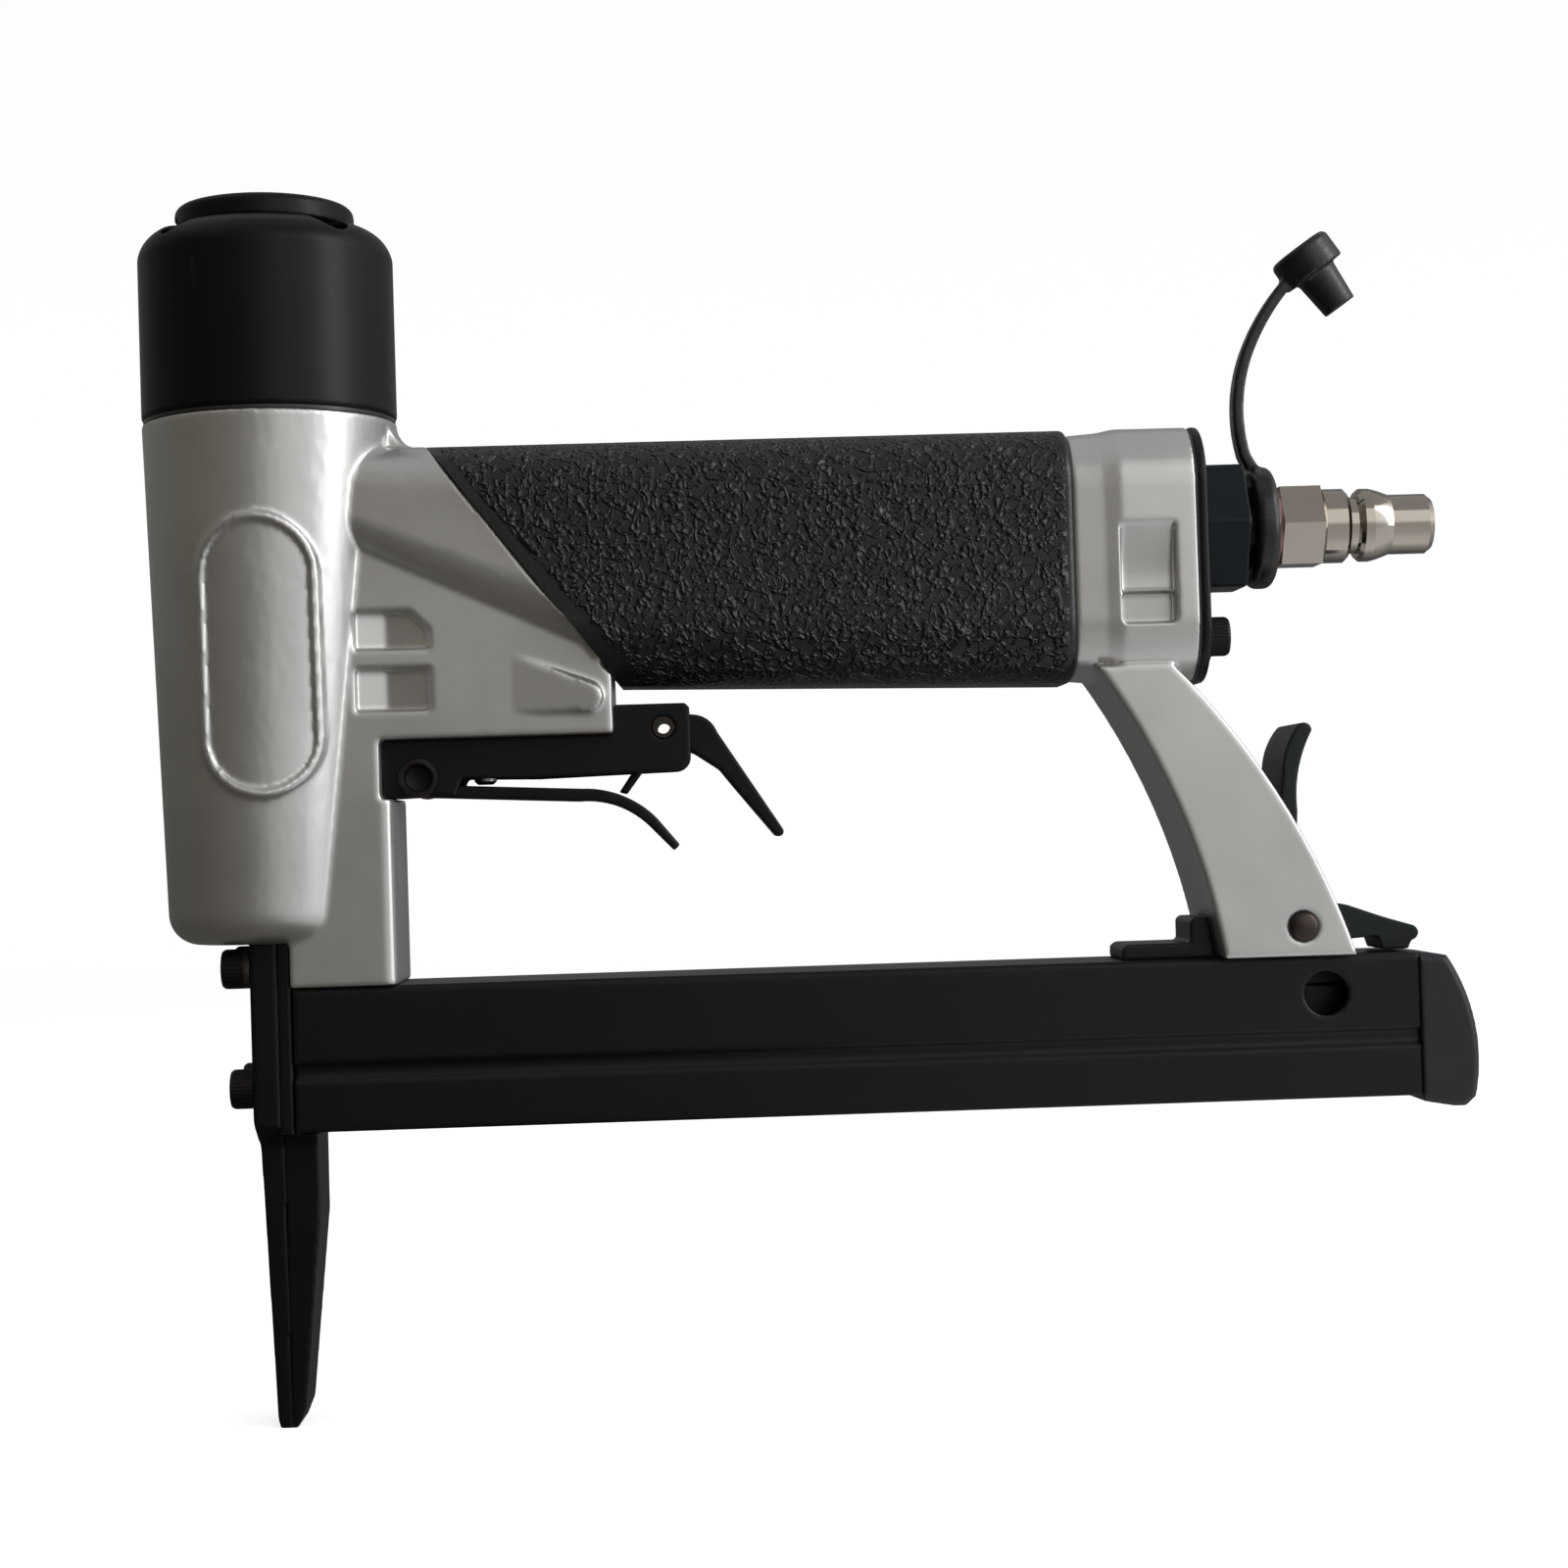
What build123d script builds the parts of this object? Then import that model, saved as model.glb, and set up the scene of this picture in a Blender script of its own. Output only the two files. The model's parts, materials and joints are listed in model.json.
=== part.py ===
from build123d import *
import os

os.makedirs("parts", exist_ok=True)

# A pneumatic fine-wire stapler with a long nose, in millimetres, +Z up.
# The origin is the tip of the nose, on the line along which the driver blade runs.
# +X points backwards, from the nose to the air inlet. The tool is mirrored about Y = 0.

FIT = 0.05                    # radial clearance of a running fit
GAP = 0.3                     # clearance between parts that pass each other

# Head: the round barrel with its cap, whose axis is the Z axis
HEAD_RADIUS = 22.5
BARREL_TOP = 177.4
BARREL_BOTTOM = 85.2
BARREL_FOOT_RADIUS = 16.7     # the barrel tapers and leans forwards as it goes down
BARREL_FOOT_X = -3.25
CHAMBER_RADIUS = 15.2
CAP_SEAT = BARREL_TOP + 0.6   # top of the cap gasket
CAP_SHOULDER = 206.7
CAP_TOP = 212.0
CAP_TOP_RADIUS = 15.8
CAP_BORE = 13.8
CAP_ROOF = 205.8
CAP_SCREW_CIRCLE = 17.6
CAP_SCREW_SEAT = 186.0
CAP_THREAD = 12.0             # depth of the cap screws in the casting
DEFLECTOR_TOP = 216.2

# Web and column below the handle
WEB_HALF = 12.0
WEB_BOTTOM = 120.3
WEB_REAR = 60.0
COLUMN_FRONT = 2.4
COLUMN_REAR = 21.2
COLUMN_STEP_X = 19.0
COLUMN_STEP_Z = 109.9

# Handle
HANDLE_HALF = 16.5
HANDLE_TOP = 172.0
HANDLE_BOTTOM_FRONT = 128.6
HANDLE_BOTTOM_REAR = 126.8
HANDLE_CORNER = 11.0
RUBBER = 2.0                  # thickness of the rubber sleeve
SLEEVE_REAR = 141.5
SLEEVE_TOP_X = 27.5           # the sleeve's slanted front edge, from its top to its bottom
SLEEVE_BOTTOM_X = 62.8
END_X = 163.1                 # the casting's rear face
AIR_Z = 154.3                 # height of the air inlet
AIR_CAVITY_HALF = 10.0
END_SCREW_Y = 9.0             # the two screws of the end plate
END_SCREW_Z = 134.3

# Magazine
MAGAZINE_FRONT = 2.6
MAGAZINE_REAR = 201.0
MAGAZINE_TOP = 77.4
MAGAZINE_BOTTOM = 52.1
MAGAZINE_HALF = 11.0
MAGAZINE_WALL = 2.0
RAIL_BASE = 53.9
RAIL_TOP = 72.0
GROOVE_Z = 62.6
ROD_Z = 66.0
ROD_RADIUS = 1.0

# Nose
PLATE_FRONT = -4.8
PLATE_HALF = 10.6
PLATE_TOP = 87.0
PLATE_STEP = 50.7             # below this the plates narrow into the nose
NOSE_HALF = 7.0
BLADE_HALF = 4.6
BLADE_THICKNESS = 1.0
NOSE_SCREW_Y = 7.0
NOSE_SCREW_UPPER = 80.9
NOSE_SCREW_LOWER = 59.8

# Screws: M4 socket heads
M4_HEAD_RADIUS = 3.5
M4_HEAD_HEIGHT = 4.0
M4_RADIUS = 2.0
M4_HEX = 3.0

# Pivots, as (x, z)
TRIGGER_PIVOT = (25.4, 113.4)
SAFETY_PIVOT = (68.7, 121.2)
LATCH_PIVOT = (180.0, 82.7)
VALVE_X = 36.6
BRACKET_SCREWS_X = (47.0, 55.0)


# ---------------------------------------------------------------- helpers

def handle_section(x, half_width, bottom, top, corner):
    """A rounded section across the handle at x."""
    with BuildSketch(Plane.YZ.offset(x)) as section:
        with Locations((0, (bottom + top) / 2)):
            RectangleRounded(2 * half_width, top - bottom, corner)
    return section.sketch


def handle_bottom(x):
    """Height of the handle's underside at x."""
    along = (x - SLEEVE_BOTTOM_X) / (SLEEVE_REAR - SLEEVE_BOTTOM_X)
    return HANDLE_BOTTOM_FRONT + along * (HANDLE_BOTTOM_REAR - HANDLE_BOTTOM_FRONT)


def handle_outline(x, inset):
    """The handle's section at x, made smaller by inset all round."""
    half = HANDLE_HALF - inset
    return handle_section(x, half, handle_bottom(x) + inset, HANDLE_TOP - inset, HANDLE_CORNER - inset)


def ahead_of_sleeve():
    """The side view's region in front of the sleeve's slanted edge."""
    with BuildSketch(Plane.XZ) as region:
        with BuildLine():
            Polyline((SLEEVE_TOP_X, HANDLE_TOP + 1), (SLEEVE_BOTTOM_X, HANDLE_BOTTOM_FRONT - 1.6),
                     (0, HANDLE_BOTTOM_FRONT - 1.6), (0, HANDLE_TOP + 1), close=True)
        make_face()
    return region.sketch


def side_disc(pivot, radius):
    """A disc in the side view, centred on a pivot."""
    with BuildSketch(Plane.XZ) as disc:
        with Locations(pivot):
            Circle(radius)
    return disc.sketch


def socket_screw(shank_length, head_radius=M4_HEAD_RADIUS, head_height=M4_HEAD_HEIGHT,
                 shank_radius=M4_RADIUS, hex_across=M4_HEX):
    """One socket head screw: its head stands on the XY plane and its shank goes down."""
    with BuildPart() as screw:
        Cylinder(head_radius, head_height, align=(Align.CENTER, Align.CENTER, Align.MIN))
        chamfer(edges().group_by(Axis.Z)[-1], 0.4)
        Cylinder(shank_radius, shank_length, align=(Align.CENTER, Align.CENTER, Align.MAX))
        with BuildSketch(Plane.XY.offset(head_height)):
            RegularPolygon(hex_across / 2, 6, major_radius=False)
        extrude(amount=-0.55 * head_height, mode=Mode.SUBTRACT)
    return screw.part


def coil(radius, wire_radius, height, turns):
    """A helical spring standing on the XY plane, height measured over the wire."""
    with BuildPart() as spring:
        with BuildLine(Plane.XY.offset(wire_radius)) as path:
            Helix(pitch=(height - 2 * wire_radius) / turns, height=height - 2 * wire_radius, radius=radius)
        with BuildSketch(Plane(origin=path.line @ 0, z_dir=path.line % 0)):
            Circle(wire_radius)
        sweep()
    return spring.part


def o_ring(section_radius, outer_radius, z):
    """An O-ring around the Z axis at height z."""
    with BuildPart() as ring:
        with Locations((0, 0, z)):
            Torus(outer_radius - section_radius, section_radius)
    return ring.part


def across(pivot, y=0.0):
    """A plane at a pivot of the side view, with its normal along +Y."""
    return Plane(origin=(pivot[0], y, pivot[1]), x_dir=(1, 0, 0), z_dir=(0, 1, 0))


# ---------------------------------------------------------------- casting

# A raised bead along an oval on each side of the barrel: the barrel's own taper, a little larger,
# kept only along the oval
BADGE_Z = 135.2
BADGE_WIDTH = 21.2
BADGE_HEIGHT = 49.0
BADGE_BEAD = 1.3
BADGE_RISE = 0.9
with BuildPart() as badge_beads:
    with BuildSketch(Plane.XY.offset(BARREL_BOTTOM)):
        with Locations((BARREL_FOOT_X, 0)):
            Circle(BARREL_FOOT_RADIUS + BADGE_RISE)
    with BuildSketch(Plane.XY.offset(BARREL_TOP)):
        Circle(HEAD_RADIUS + BADGE_RISE)
    loft()
    with BuildSketch(Plane.XZ):
        with Locations((-0.3, BADGE_Z)):
            SlotOverall(BADGE_HEIGHT, BADGE_WIDTH, rotation=90)
            SlotOverall(BADGE_HEIGHT - 2 * BADGE_BEAD, BADGE_WIDTH - 2 * BADGE_BEAD, rotation=90,
                        mode=Mode.SUBTRACT)
    extrude(amount=2 * HEAD_RADIUS, both=True, mode=Mode.INTERSECT)

# Core of the handle, behind the sleeve's slanted edge
with BuildPart() as handle_core:
    loft([handle_outline(24, RUBBER), handle_outline(SLEEVE_REAR, RUBBER)], ruled=True)
    extrude(ahead_of_sleeve(), amount=HEAD_RADIUS, both=True, mode=Mode.SUBTRACT)

# Rounded root of the handle, where its top runs up into the barrel
ROOT_RADIUS = 5.5
with BuildPart() as handle_root:
    with BuildSketch(Plane.XZ):
        with BuildLine():
            Polyline((HEAD_RADIUS + ROOT_RADIUS, HANDLE_TOP), (HEAD_RADIUS + ROOT_RADIUS, 165.0),
                     (16.0, 165.0), (16.0, BARREL_TOP), (HEAD_RADIUS - 0.2, BARREL_TOP))
            RadiusArc((HEAD_RADIUS - 0.2, BARREL_TOP), (HEAD_RADIUS + ROOT_RADIUS, HANDLE_TOP),
                      -ROOT_RADIUS)
        make_face()
    revolve(axis=Axis.Z)
    with BuildSketch(Plane.XY.offset(160)):
        with Locations((HEAD_RADIUS, 0)):
            Rectangle(2 * HEAD_RADIUS, 12.0)
    extrude(amount=30, mode=Mode.INTERSECT)

# The raised teardrop on each side of the web rises out of the surface towards its blunt rear end
with BuildPart() as web_teardrops:
    with BuildSketch(Plane.XZ):
        with BuildLine():
            Polyline((42.0, 134.6), (56.4, 129.2))
            ThreePointArc((56.4, 129.2), (58.3, 126.6), (55.9, 124.2))
            Polyline((55.9, 124.2), (42.0, 124.6), (42.0, 134.6))
        make_face()
    extrude(amount=WEB_HALF + 2, both=True)
    with BuildSketch(Plane.XY.offset(WEB_BOTTOM)):
        for side in (1, -1):
            with BuildLine():
                Polyline((42.0, side * (WEB_HALF - 0.05)), (59.0, side * (WEB_HALF + 1.3)),
                         (59.0, side * (WEB_HALF - 1)), (42.0, side * (WEB_HALF - 1)), close=True)
            make_face()
    extrude(amount=20, mode=Mode.INTERSECT)

# The recesses in the side of the casting, cut from the outside at Y < 0
with BuildPart() as web_pockets:
    # two recesses with a floor of two facets that meet in a line
    with BuildSketch(Plane.XY.offset(125.2)):
        with BuildLine():
            Polyline((15.2, -WEB_HALF - 4), (15.2, 1.2 - WEB_HALF), (20.6, 2.8 - WEB_HALF),
                     (28.4, 1.0 - WEB_HALF), (28.4, -WEB_HALF - 4), close=True)
        make_face()
    extrude(amount=142.8 - 125.2)
    with BuildSketch(Plane.XZ):
        with Locations((21.8, 134.4)):
            Rectangle(16.0, 3.2)
        with BuildLine():
            Polyline((24.6, 143.0), (28.6, 139.0), (28.6, 143.0), close=True)
        make_face()
    extrude(amount=30, mode=Mode.SUBTRACT)
    # scoop in the rear end: a hollow slope above a deeper pocket
    with BuildSketch(Plane.XZ.offset(HANDLE_HALF - 4)):
        with Locations((154.4, 139.4)):
            RectangleRounded(9.6, 5.6, 1.0)
    extrude(amount=12)
    with BuildSketch(Plane.YZ.offset(149.6)):
        with BuildLine():
            Polyline((-HANDLE_HALF - 3, 154.2), (-HANDLE_HALF + 0.5, 154.2))
            ThreePointArc((-HANDLE_HALF + 0.5, 154.2), (-HANDLE_HALF + 2.4, 148.5),
                          (-HANDLE_HALF + 2.6, 141.8))
            Polyline((-HANDLE_HALF + 2.6, 141.8), (-HANDLE_HALF - 3, 141.8), (-HANDLE_HALF - 3, 154.2))
        make_face()
    extrude(amount=9.6)

with BuildPart() as body_casting:
    # barrel
    with BuildSketch(Plane.XY.offset(BARREL_BOTTOM)):
        with Locations((BARREL_FOOT_X, 0)):
            Circle(BARREL_FOOT_RADIUS)
    with BuildSketch(Plane.XY.offset(BARREL_TOP)):
        Circle(HEAD_RADIUS)
    loft()
    fillet(faces().sort_by(Axis.Z)[0].edges(), 5.5)
    # web, column and the foot that carries the nose
    with BuildSketch(Plane.XZ):
        with BuildLine():
            Polyline((COLUMN_FRONT, MAGAZINE_TOP), (COLUMN_REAR, MAGAZINE_TOP),
                     (COLUMN_REAR, COLUMN_STEP_Z), (COLUMN_STEP_X, COLUMN_STEP_Z),
                     (COLUMN_STEP_X, WEB_BOTTOM), (WEB_REAR, WEB_BOTTOM), (WEB_REAR, 131.5),
                     (SLEEVE_TOP_X + 1, HANDLE_TOP - 3), (COLUMN_FRONT, HANDLE_TOP - 3), close=True)
        make_face()
    extrude(amount=WEB_HALF, both=True)
    fillet(edges().filter_by(Axis.Z).filter_by_position(Axis.X, 21.1, 21.3), 2.1)
    # front of the handle: it grows out of the barrel and widens to the sleeve's slanted edge
    loft([handle_section(6, 14.0, 157, HANDLE_TOP, 6.5),
          handle_outline(SLEEVE_BOTTOM_X + 4, 0.2)], ruled=True)
    with BuildSketch(Plane.XZ):
        with BuildLine():
            Polyline((SLEEVE_TOP_X, HANDLE_TOP + 1), (SLEEVE_BOTTOM_X, HANDLE_BOTTOM_FRONT - 1.6),
                     (90, HANDLE_BOTTOM_FRONT - 1.6), (90, HANDLE_TOP + 1), close=True)
        make_face()
    extrude(amount=HEAD_RADIUS, both=True, mode=Mode.SUBTRACT)
    add(handle_root.part)
    # core under the sleeve, then the full-width rear end
    add(handle_core.part)
    loft([handle_outline(SLEEVE_REAR, 1.0), handle_outline(147, 0.6)], ruled=True)
    loft([handle_outline(147, 0.6), handle_outline(150, 0)], ruled=True)
    extrude(handle_outline(150, 0), amount=END_X - 150, dir=(1, 0, 0))
    # arm from the rear end down to the magazine
    with BuildSketch(Plane.XZ):
        with BuildLine():
            ThreePointArc((145.0, 129.5), (158.6, 104.5), (166.1, MAGAZINE_TOP))
            Line((166.1, MAGAZINE_TOP), (189.4, MAGAZINE_TOP))
            ThreePointArc((189.4, MAGAZINE_TOP), (178.0, 103.4), (158.5, 129.5))
            Line((158.5, 129.5), (145.0, 129.5))
        make_face()
    extrude(amount=14, both=True)
    add(badge_beads.part)
    add(web_teardrops.part)
    # channel in the arm for the latch, open backwards and downwards
    with BuildSketch(Plane.XZ):
        with BuildLine():
            ThreePointArc((163.1, 113.6), (169.3, 95.5), (172.0, 76.0))
            Polyline((172.0, 76.0), (195, 76), (195, 113.6), (163.1, 113.6))
        make_face()
    extrude(amount=10.8, both=True, mode=Mode.SUBTRACT)
    with Locations(across(LATCH_PIVOT)):
        Cylinder(2.5 + FIT, 40, mode=Mode.SUBTRACT)
    # bore for the cylinder, air chamber around it and the slot for the driver blade
    with Locations((0, 0, 88)):
        Cylinder(12.55, 20, align=(Align.CENTER, Align.CENTER, Align.MIN), mode=Mode.SUBTRACT)
    with Locations((0, 0, 100)):
        Cylinder(CHAMBER_RADIUS, 80, align=(Align.CENTER, Align.CENTER, Align.MIN), mode=Mode.SUBTRACT)
    with Locations((-BLADE_THICKNESS / 2, 0, 86)):
        Box(BLADE_THICKNESS + 0.6, 2 * BLADE_HALF + 0.6, 6, mode=Mode.SUBTRACT)
    # notch for the tops of the two nose plates
    with Locations(((PLATE_FRONT - 0.2 + COLUMN_FRONT) / 2, 0, PLATE_TOP + 0.2)):
        Box(COLUMN_FRONT - PLATE_FRONT + 0.2, 2 * PLATE_HALF + 0.4, 20,
            align=(Align.CENTER, Align.CENTER, Align.MAX), mode=Mode.SUBTRACT)
    # air cavity along the handle, open at the rear and into the chamber
    extrude(handle_section(8, AIR_CAVITY_HALF, 140, 166, 9.9), amount=END_X, dir=(1, 0, 0),
            mode=Mode.SUBTRACT)
    # bore for the trigger valve
    with Locations((VALVE_X, 0, WEB_BOTTOM)):
        Cylinder(6, 24, align=(Align.CENTER, Align.CENTER, Align.MIN), mode=Mode.SUBTRACT)
    # threads for the screws of the trigger's bracket
    with Locations(*[(x, 0, WEB_BOTTOM) for x in BRACKET_SCREWS_X]):
        Cylinder(1.6 + FIT, 9, align=(Align.CENTER, Align.CENTER, Align.MIN), mode=Mode.SUBTRACT)
    # two shallow pockets on each side of the web, and a scoop on each side of the rear end
    add(web_pockets.part, mode=Mode.SUBTRACT)
    add(web_pockets.part.mirror(Plane.XZ), mode=Mode.SUBTRACT)
    # threads for the end plate, the cap and the nose
    with Locations(*[Plane(origin=(END_X, y, END_SCREW_Z), z_dir=(1, 0, 0))
                     for y in (END_SCREW_Y, -END_SCREW_Y)]):
        Cylinder(M4_RADIUS + FIT, 12, align=(Align.CENTER, Align.CENTER, Align.MAX), mode=Mode.SUBTRACT)
    with Locations(Plane.XY.offset(BARREL_TOP)):
        with PolarLocations(CAP_SCREW_CIRCLE, 4, start_angle=45):
            Cylinder(M4_RADIUS + FIT, CAP_THREAD + 2, align=(Align.CENTER, Align.CENTER, Align.MAX),
                     mode=Mode.SUBTRACT)
    with Locations(*[Plane(origin=(0, y, NOSE_SCREW_UPPER), z_dir=(1, 0, 0))
                     for y in (NOSE_SCREW_Y, -NOSE_SCREW_Y)]):
        Cylinder(M4_RADIUS + FIT, 14, align=(Align.CENTER, Align.CENTER, Align.MIN), mode=Mode.SUBTRACT)

body_casting.part.label = "body_casting"
export_step(body_casting.part, "parts/body_casting.step")

# Rubber sleeve over the handle, cut off along the slanted edge at its front
with BuildPart() as grip_sleeve:
    loft([handle_outline(20, 0), handle_outline(SLEEVE_REAR, 0)], ruled=True)
    fillet(faces().sort_by(Axis.X)[-1].edges(), 1.2)
    loft([handle_outline(10, RUBBER), handle_outline(160, RUBBER)], ruled=True, mode=Mode.SUBTRACT)
    extrude(ahead_of_sleeve(), amount=HEAD_RADIUS, both=True, mode=Mode.SUBTRACT)
grip_sleeve.part.label = "grip_sleeve"
export_step(grip_sleeve.part, "parts/grip_sleeve.step")


# ---------------------------------------------------------------- head

with BuildPart() as cap_gasket:
    with BuildSketch(Plane.XY.offset(BARREL_TOP)):
        Circle(HEAD_RADIUS - 0.3)
        Circle(CHAMBER_RADIUS + 0.2, mode=Mode.SUBTRACT)
        with PolarLocations(CAP_SCREW_CIRCLE, 4, start_angle=45):
            Circle(M4_RADIUS + 0.1, mode=Mode.SUBTRACT)
    extrude(amount=CAP_SEAT - BARREL_TOP)
cap_gasket.part.label = "cap_gasket"
export_step(cap_gasket.part, "parts/cap_gasket.step")

# Cap: closes the head and holds the head valve; a sleeve in its middle guides the valve's stem
VALVE_STEM = 6.0
with BuildPart() as cylinder_cap:
    with BuildSketch(Plane.XZ):
        with BuildLine():
            Polyline((CAP_BORE, CAP_SEAT), (HEAD_RADIUS, CAP_SEAT), (HEAD_RADIUS, CAP_SHOULDER))
            RadiusArc((HEAD_RADIUS, CAP_SHOULDER), (CAP_TOP_RADIUS, CAP_TOP), -6.4)
            Polyline((CAP_TOP_RADIUS, CAP_TOP), (0, CAP_TOP), (0, CAP_ROOF + 0.7),
                     (VALVE_STEM, CAP_ROOF + 0.7), (VALVE_STEM, 198.0), (VALVE_STEM + 1.5, 198.0),
                     (VALVE_STEM + 1.5, CAP_ROOF),
                     (CAP_BORE, CAP_ROOF), (CAP_BORE, CAP_SEAT))
        make_face()
    revolve(axis=Axis.Z)
    # bevelled lead-in around the cap's lower edge
    chamfer(edges().filter_by(GeomType.CIRCLE).group_by(Axis.Z)[0].sort_by(SortBy.RADIUS)[-1], 0.4)
    # exhaust holes from the stem's bore to the deflector, around the thread of its screw
    with Locations((0, 0, CAP_ROOF)):
        with PolarLocations(4.3, 8):
            Cylinder(1.1, 10, align=(Align.CENTER, Align.CENTER, Align.MIN), mode=Mode.SUBTRACT)
    with Locations((0, 0, CAP_ROOF + 1.2)):
        Cylinder(1.5 + FIT, 10, align=(Align.CENTER, Align.CENTER, Align.MIN), mode=Mode.SUBTRACT)
    # deep counterbores of the four cap screws
    with Locations((0, 0, CAP_SCREW_SEAT)):
        with PolarLocations(CAP_SCREW_CIRCLE, 4, start_angle=45):
            Cylinder(M4_HEAD_RADIUS + 0.15, 30, align=(Align.CENTER, Align.CENTER, Align.MIN),
                     mode=Mode.SUBTRACT)
            Cylinder(M4_RADIUS + 0.1, 30, mode=Mode.SUBTRACT)
cylinder_cap.part.label = "cylinder_cap"
export_step(cylinder_cap.part, "parts/cylinder_cap.step")

with BuildPart() as cap_screws:
    with Locations(Plane.XY.offset(CAP_SCREW_SEAT)):
        with PolarLocations(CAP_SCREW_CIRCLE, 4, start_angle=45):
            add(socket_screw(CAP_SCREW_SEAT - BARREL_TOP + CAP_THREAD))
cap_screws.part.label = "cap_screws"
export_step(cap_screws.part, "parts/cap_screws.step")

# Exhaust deflector: a disc that turns on the cap and lets the air out through a slot in its rim
DEFLECTOR_BOTTOM = CAP_TOP + FIT
with BuildPart() as exhaust_deflector:
    with Locations((0, 0, DEFLECTOR_BOTTOM)):
        Cylinder(CAP_TOP_RADIUS, DEFLECTOR_TOP - DEFLECTOR_BOTTOM,
                 align=(Align.CENTER, Align.CENTER, Align.MIN))
    fillet(faces().sort_by(Axis.Z)[-1].edges(), 1.6)
    with BuildSketch(Plane.XY.offset(DEFLECTOR_BOTTOM)):
        Circle(13.0)
        Circle(2.8, mode=Mode.SUBTRACT)
    extrude(amount=1.6, mode=Mode.SUBTRACT)
    with Locations((-14, 0, DEFLECTOR_BOTTOM)):
        Box(6, 14, 1.6, align=(Align.CENTER, Align.CENTER, Align.MIN), mode=Mode.SUBTRACT)
    Cylinder(1.5 + 0.1, 500, mode=Mode.SUBTRACT)
    with Locations((0, 0, DEFLECTOR_TOP)):
        Cylinder(3.0, 1.5, align=(Align.CENTER, Align.CENTER, Align.MAX), mode=Mode.SUBTRACT)
exhaust_deflector.part.label = "exhaust_deflector"
export_step(exhaust_deflector.part, "parts/exhaust_deflector.step")

with BuildPart() as deflector_screw:
    with Locations((0, 0, DEFLECTOR_TOP - 1.5 + FIT)):
        add(socket_screw(6.5, 2.75, 1.9, 1.5, 2.0))
deflector_screw.part.label = "deflector_screw"
export_step(deflector_screw.part, "parts/deflector_screw.step")

# Cylinder: liner with a collar that parts the main air from the return air
LINER_BORE = 11.0
LINER_RADIUS = 12.5
LINER_BOTTOM = 88.0
LINER_TOP = 186.0
COLLAR_Z = 134.0
with BuildPart() as cylinder:
    with BuildSketch(Plane.XZ):
        with BuildLine():
            Polyline((LINER_BORE, LINER_BOTTOM), (LINER_RADIUS, LINER_BOTTOM),
                     (LINER_RADIUS, COLLAR_Z - 2.5),
                     (CHAMBER_RADIUS - 0.1, COLLAR_Z - 2.5), (CHAMBER_RADIUS - 0.1, COLLAR_Z - 0.9),
                     (CHAMBER_RADIUS - 1.8, COLLAR_Z - 0.9), (CHAMBER_RADIUS - 1.8, COLLAR_Z + 0.9),
                     (CHAMBER_RADIUS - 0.1, COLLAR_Z + 0.9), (CHAMBER_RADIUS - 0.1, COLLAR_Z + 2.5),
                     (LINER_RADIUS, COLLAR_Z + 2.5), (LINER_RADIUS, LINER_TOP), (LINER_BORE, LINER_TOP),
                     close=True)
        make_face()
    revolve(axis=Axis.Z)
    # return ports low down in the wall
    with Locations((0, 0, 106)):
        with PolarLocations(LINER_RADIUS, 8, start_angle=22.5):
            Cylinder(1.0, 6, rotation=(0, 90, 0), mode=Mode.SUBTRACT)
cylinder.part.label = "cylinder"
export_step(cylinder.part, "parts/cylinder.step")

with BuildPart() as cylinder_o_ring:
    add(o_ring(0.8, CHAMBER_RADIUS - 0.02, COLLAR_Z))
cylinder_o_ring.part.label = "cylinder_o_ring"
export_step(cylinder_o_ring.part, "parts/cylinder_o_ring.step")

# Head valve: a piston that closes the cylinder's top, with a hollow stem for the exhaust
HEAD_VALVE_Z = 192.0
with BuildPart() as head_valve:
    with BuildSketch(Plane.XZ):
        with BuildLine():
            Polyline((4.0, LINER_TOP + FIT), (LINER_RADIUS, LINER_TOP + FIT), (LINER_RADIUS, 189.0),
                     (CAP_BORE - 0.08, 189.0), (CAP_BORE - 0.08, HEAD_VALVE_Z - 0.9),
                     (CAP_BORE - 1.8, HEAD_VALVE_Z - 0.9), (CAP_BORE - 1.8, HEAD_VALVE_Z + 0.9),
                     (CAP_BORE - 0.08, HEAD_VALVE_Z + 0.9), (CAP_BORE - 0.08, 194.6),
                     (VALVE_STEM - FIT, 194.6), (VALVE_STEM - FIT, 202.0), (4.0, 202.0), close=True)
        make_face()
    revolve(axis=Axis.Z)
head_valve.part.label = "head_valve"
export_step(head_valve.part, "parts/head_valve.step")

with BuildPart() as head_valve_o_ring:
    add(o_ring(0.8, CAP_BORE - 0.02, HEAD_VALVE_Z))
head_valve_o_ring.part.label = "head_valve_o_ring"
export_step(head_valve_o_ring.part, "parts/head_valve_o_ring.step")

with BuildPart() as head_valve_spring:
    with Locations((0, 0, 194.7)):
        add(coil(10.4, 0.7, CAP_ROOF - 0.1 - 194.7, 3.5))
head_valve_spring.part.label = "head_valve_spring"
export_step(head_valve_spring.part, "parts/head_valve_spring.step")

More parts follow.
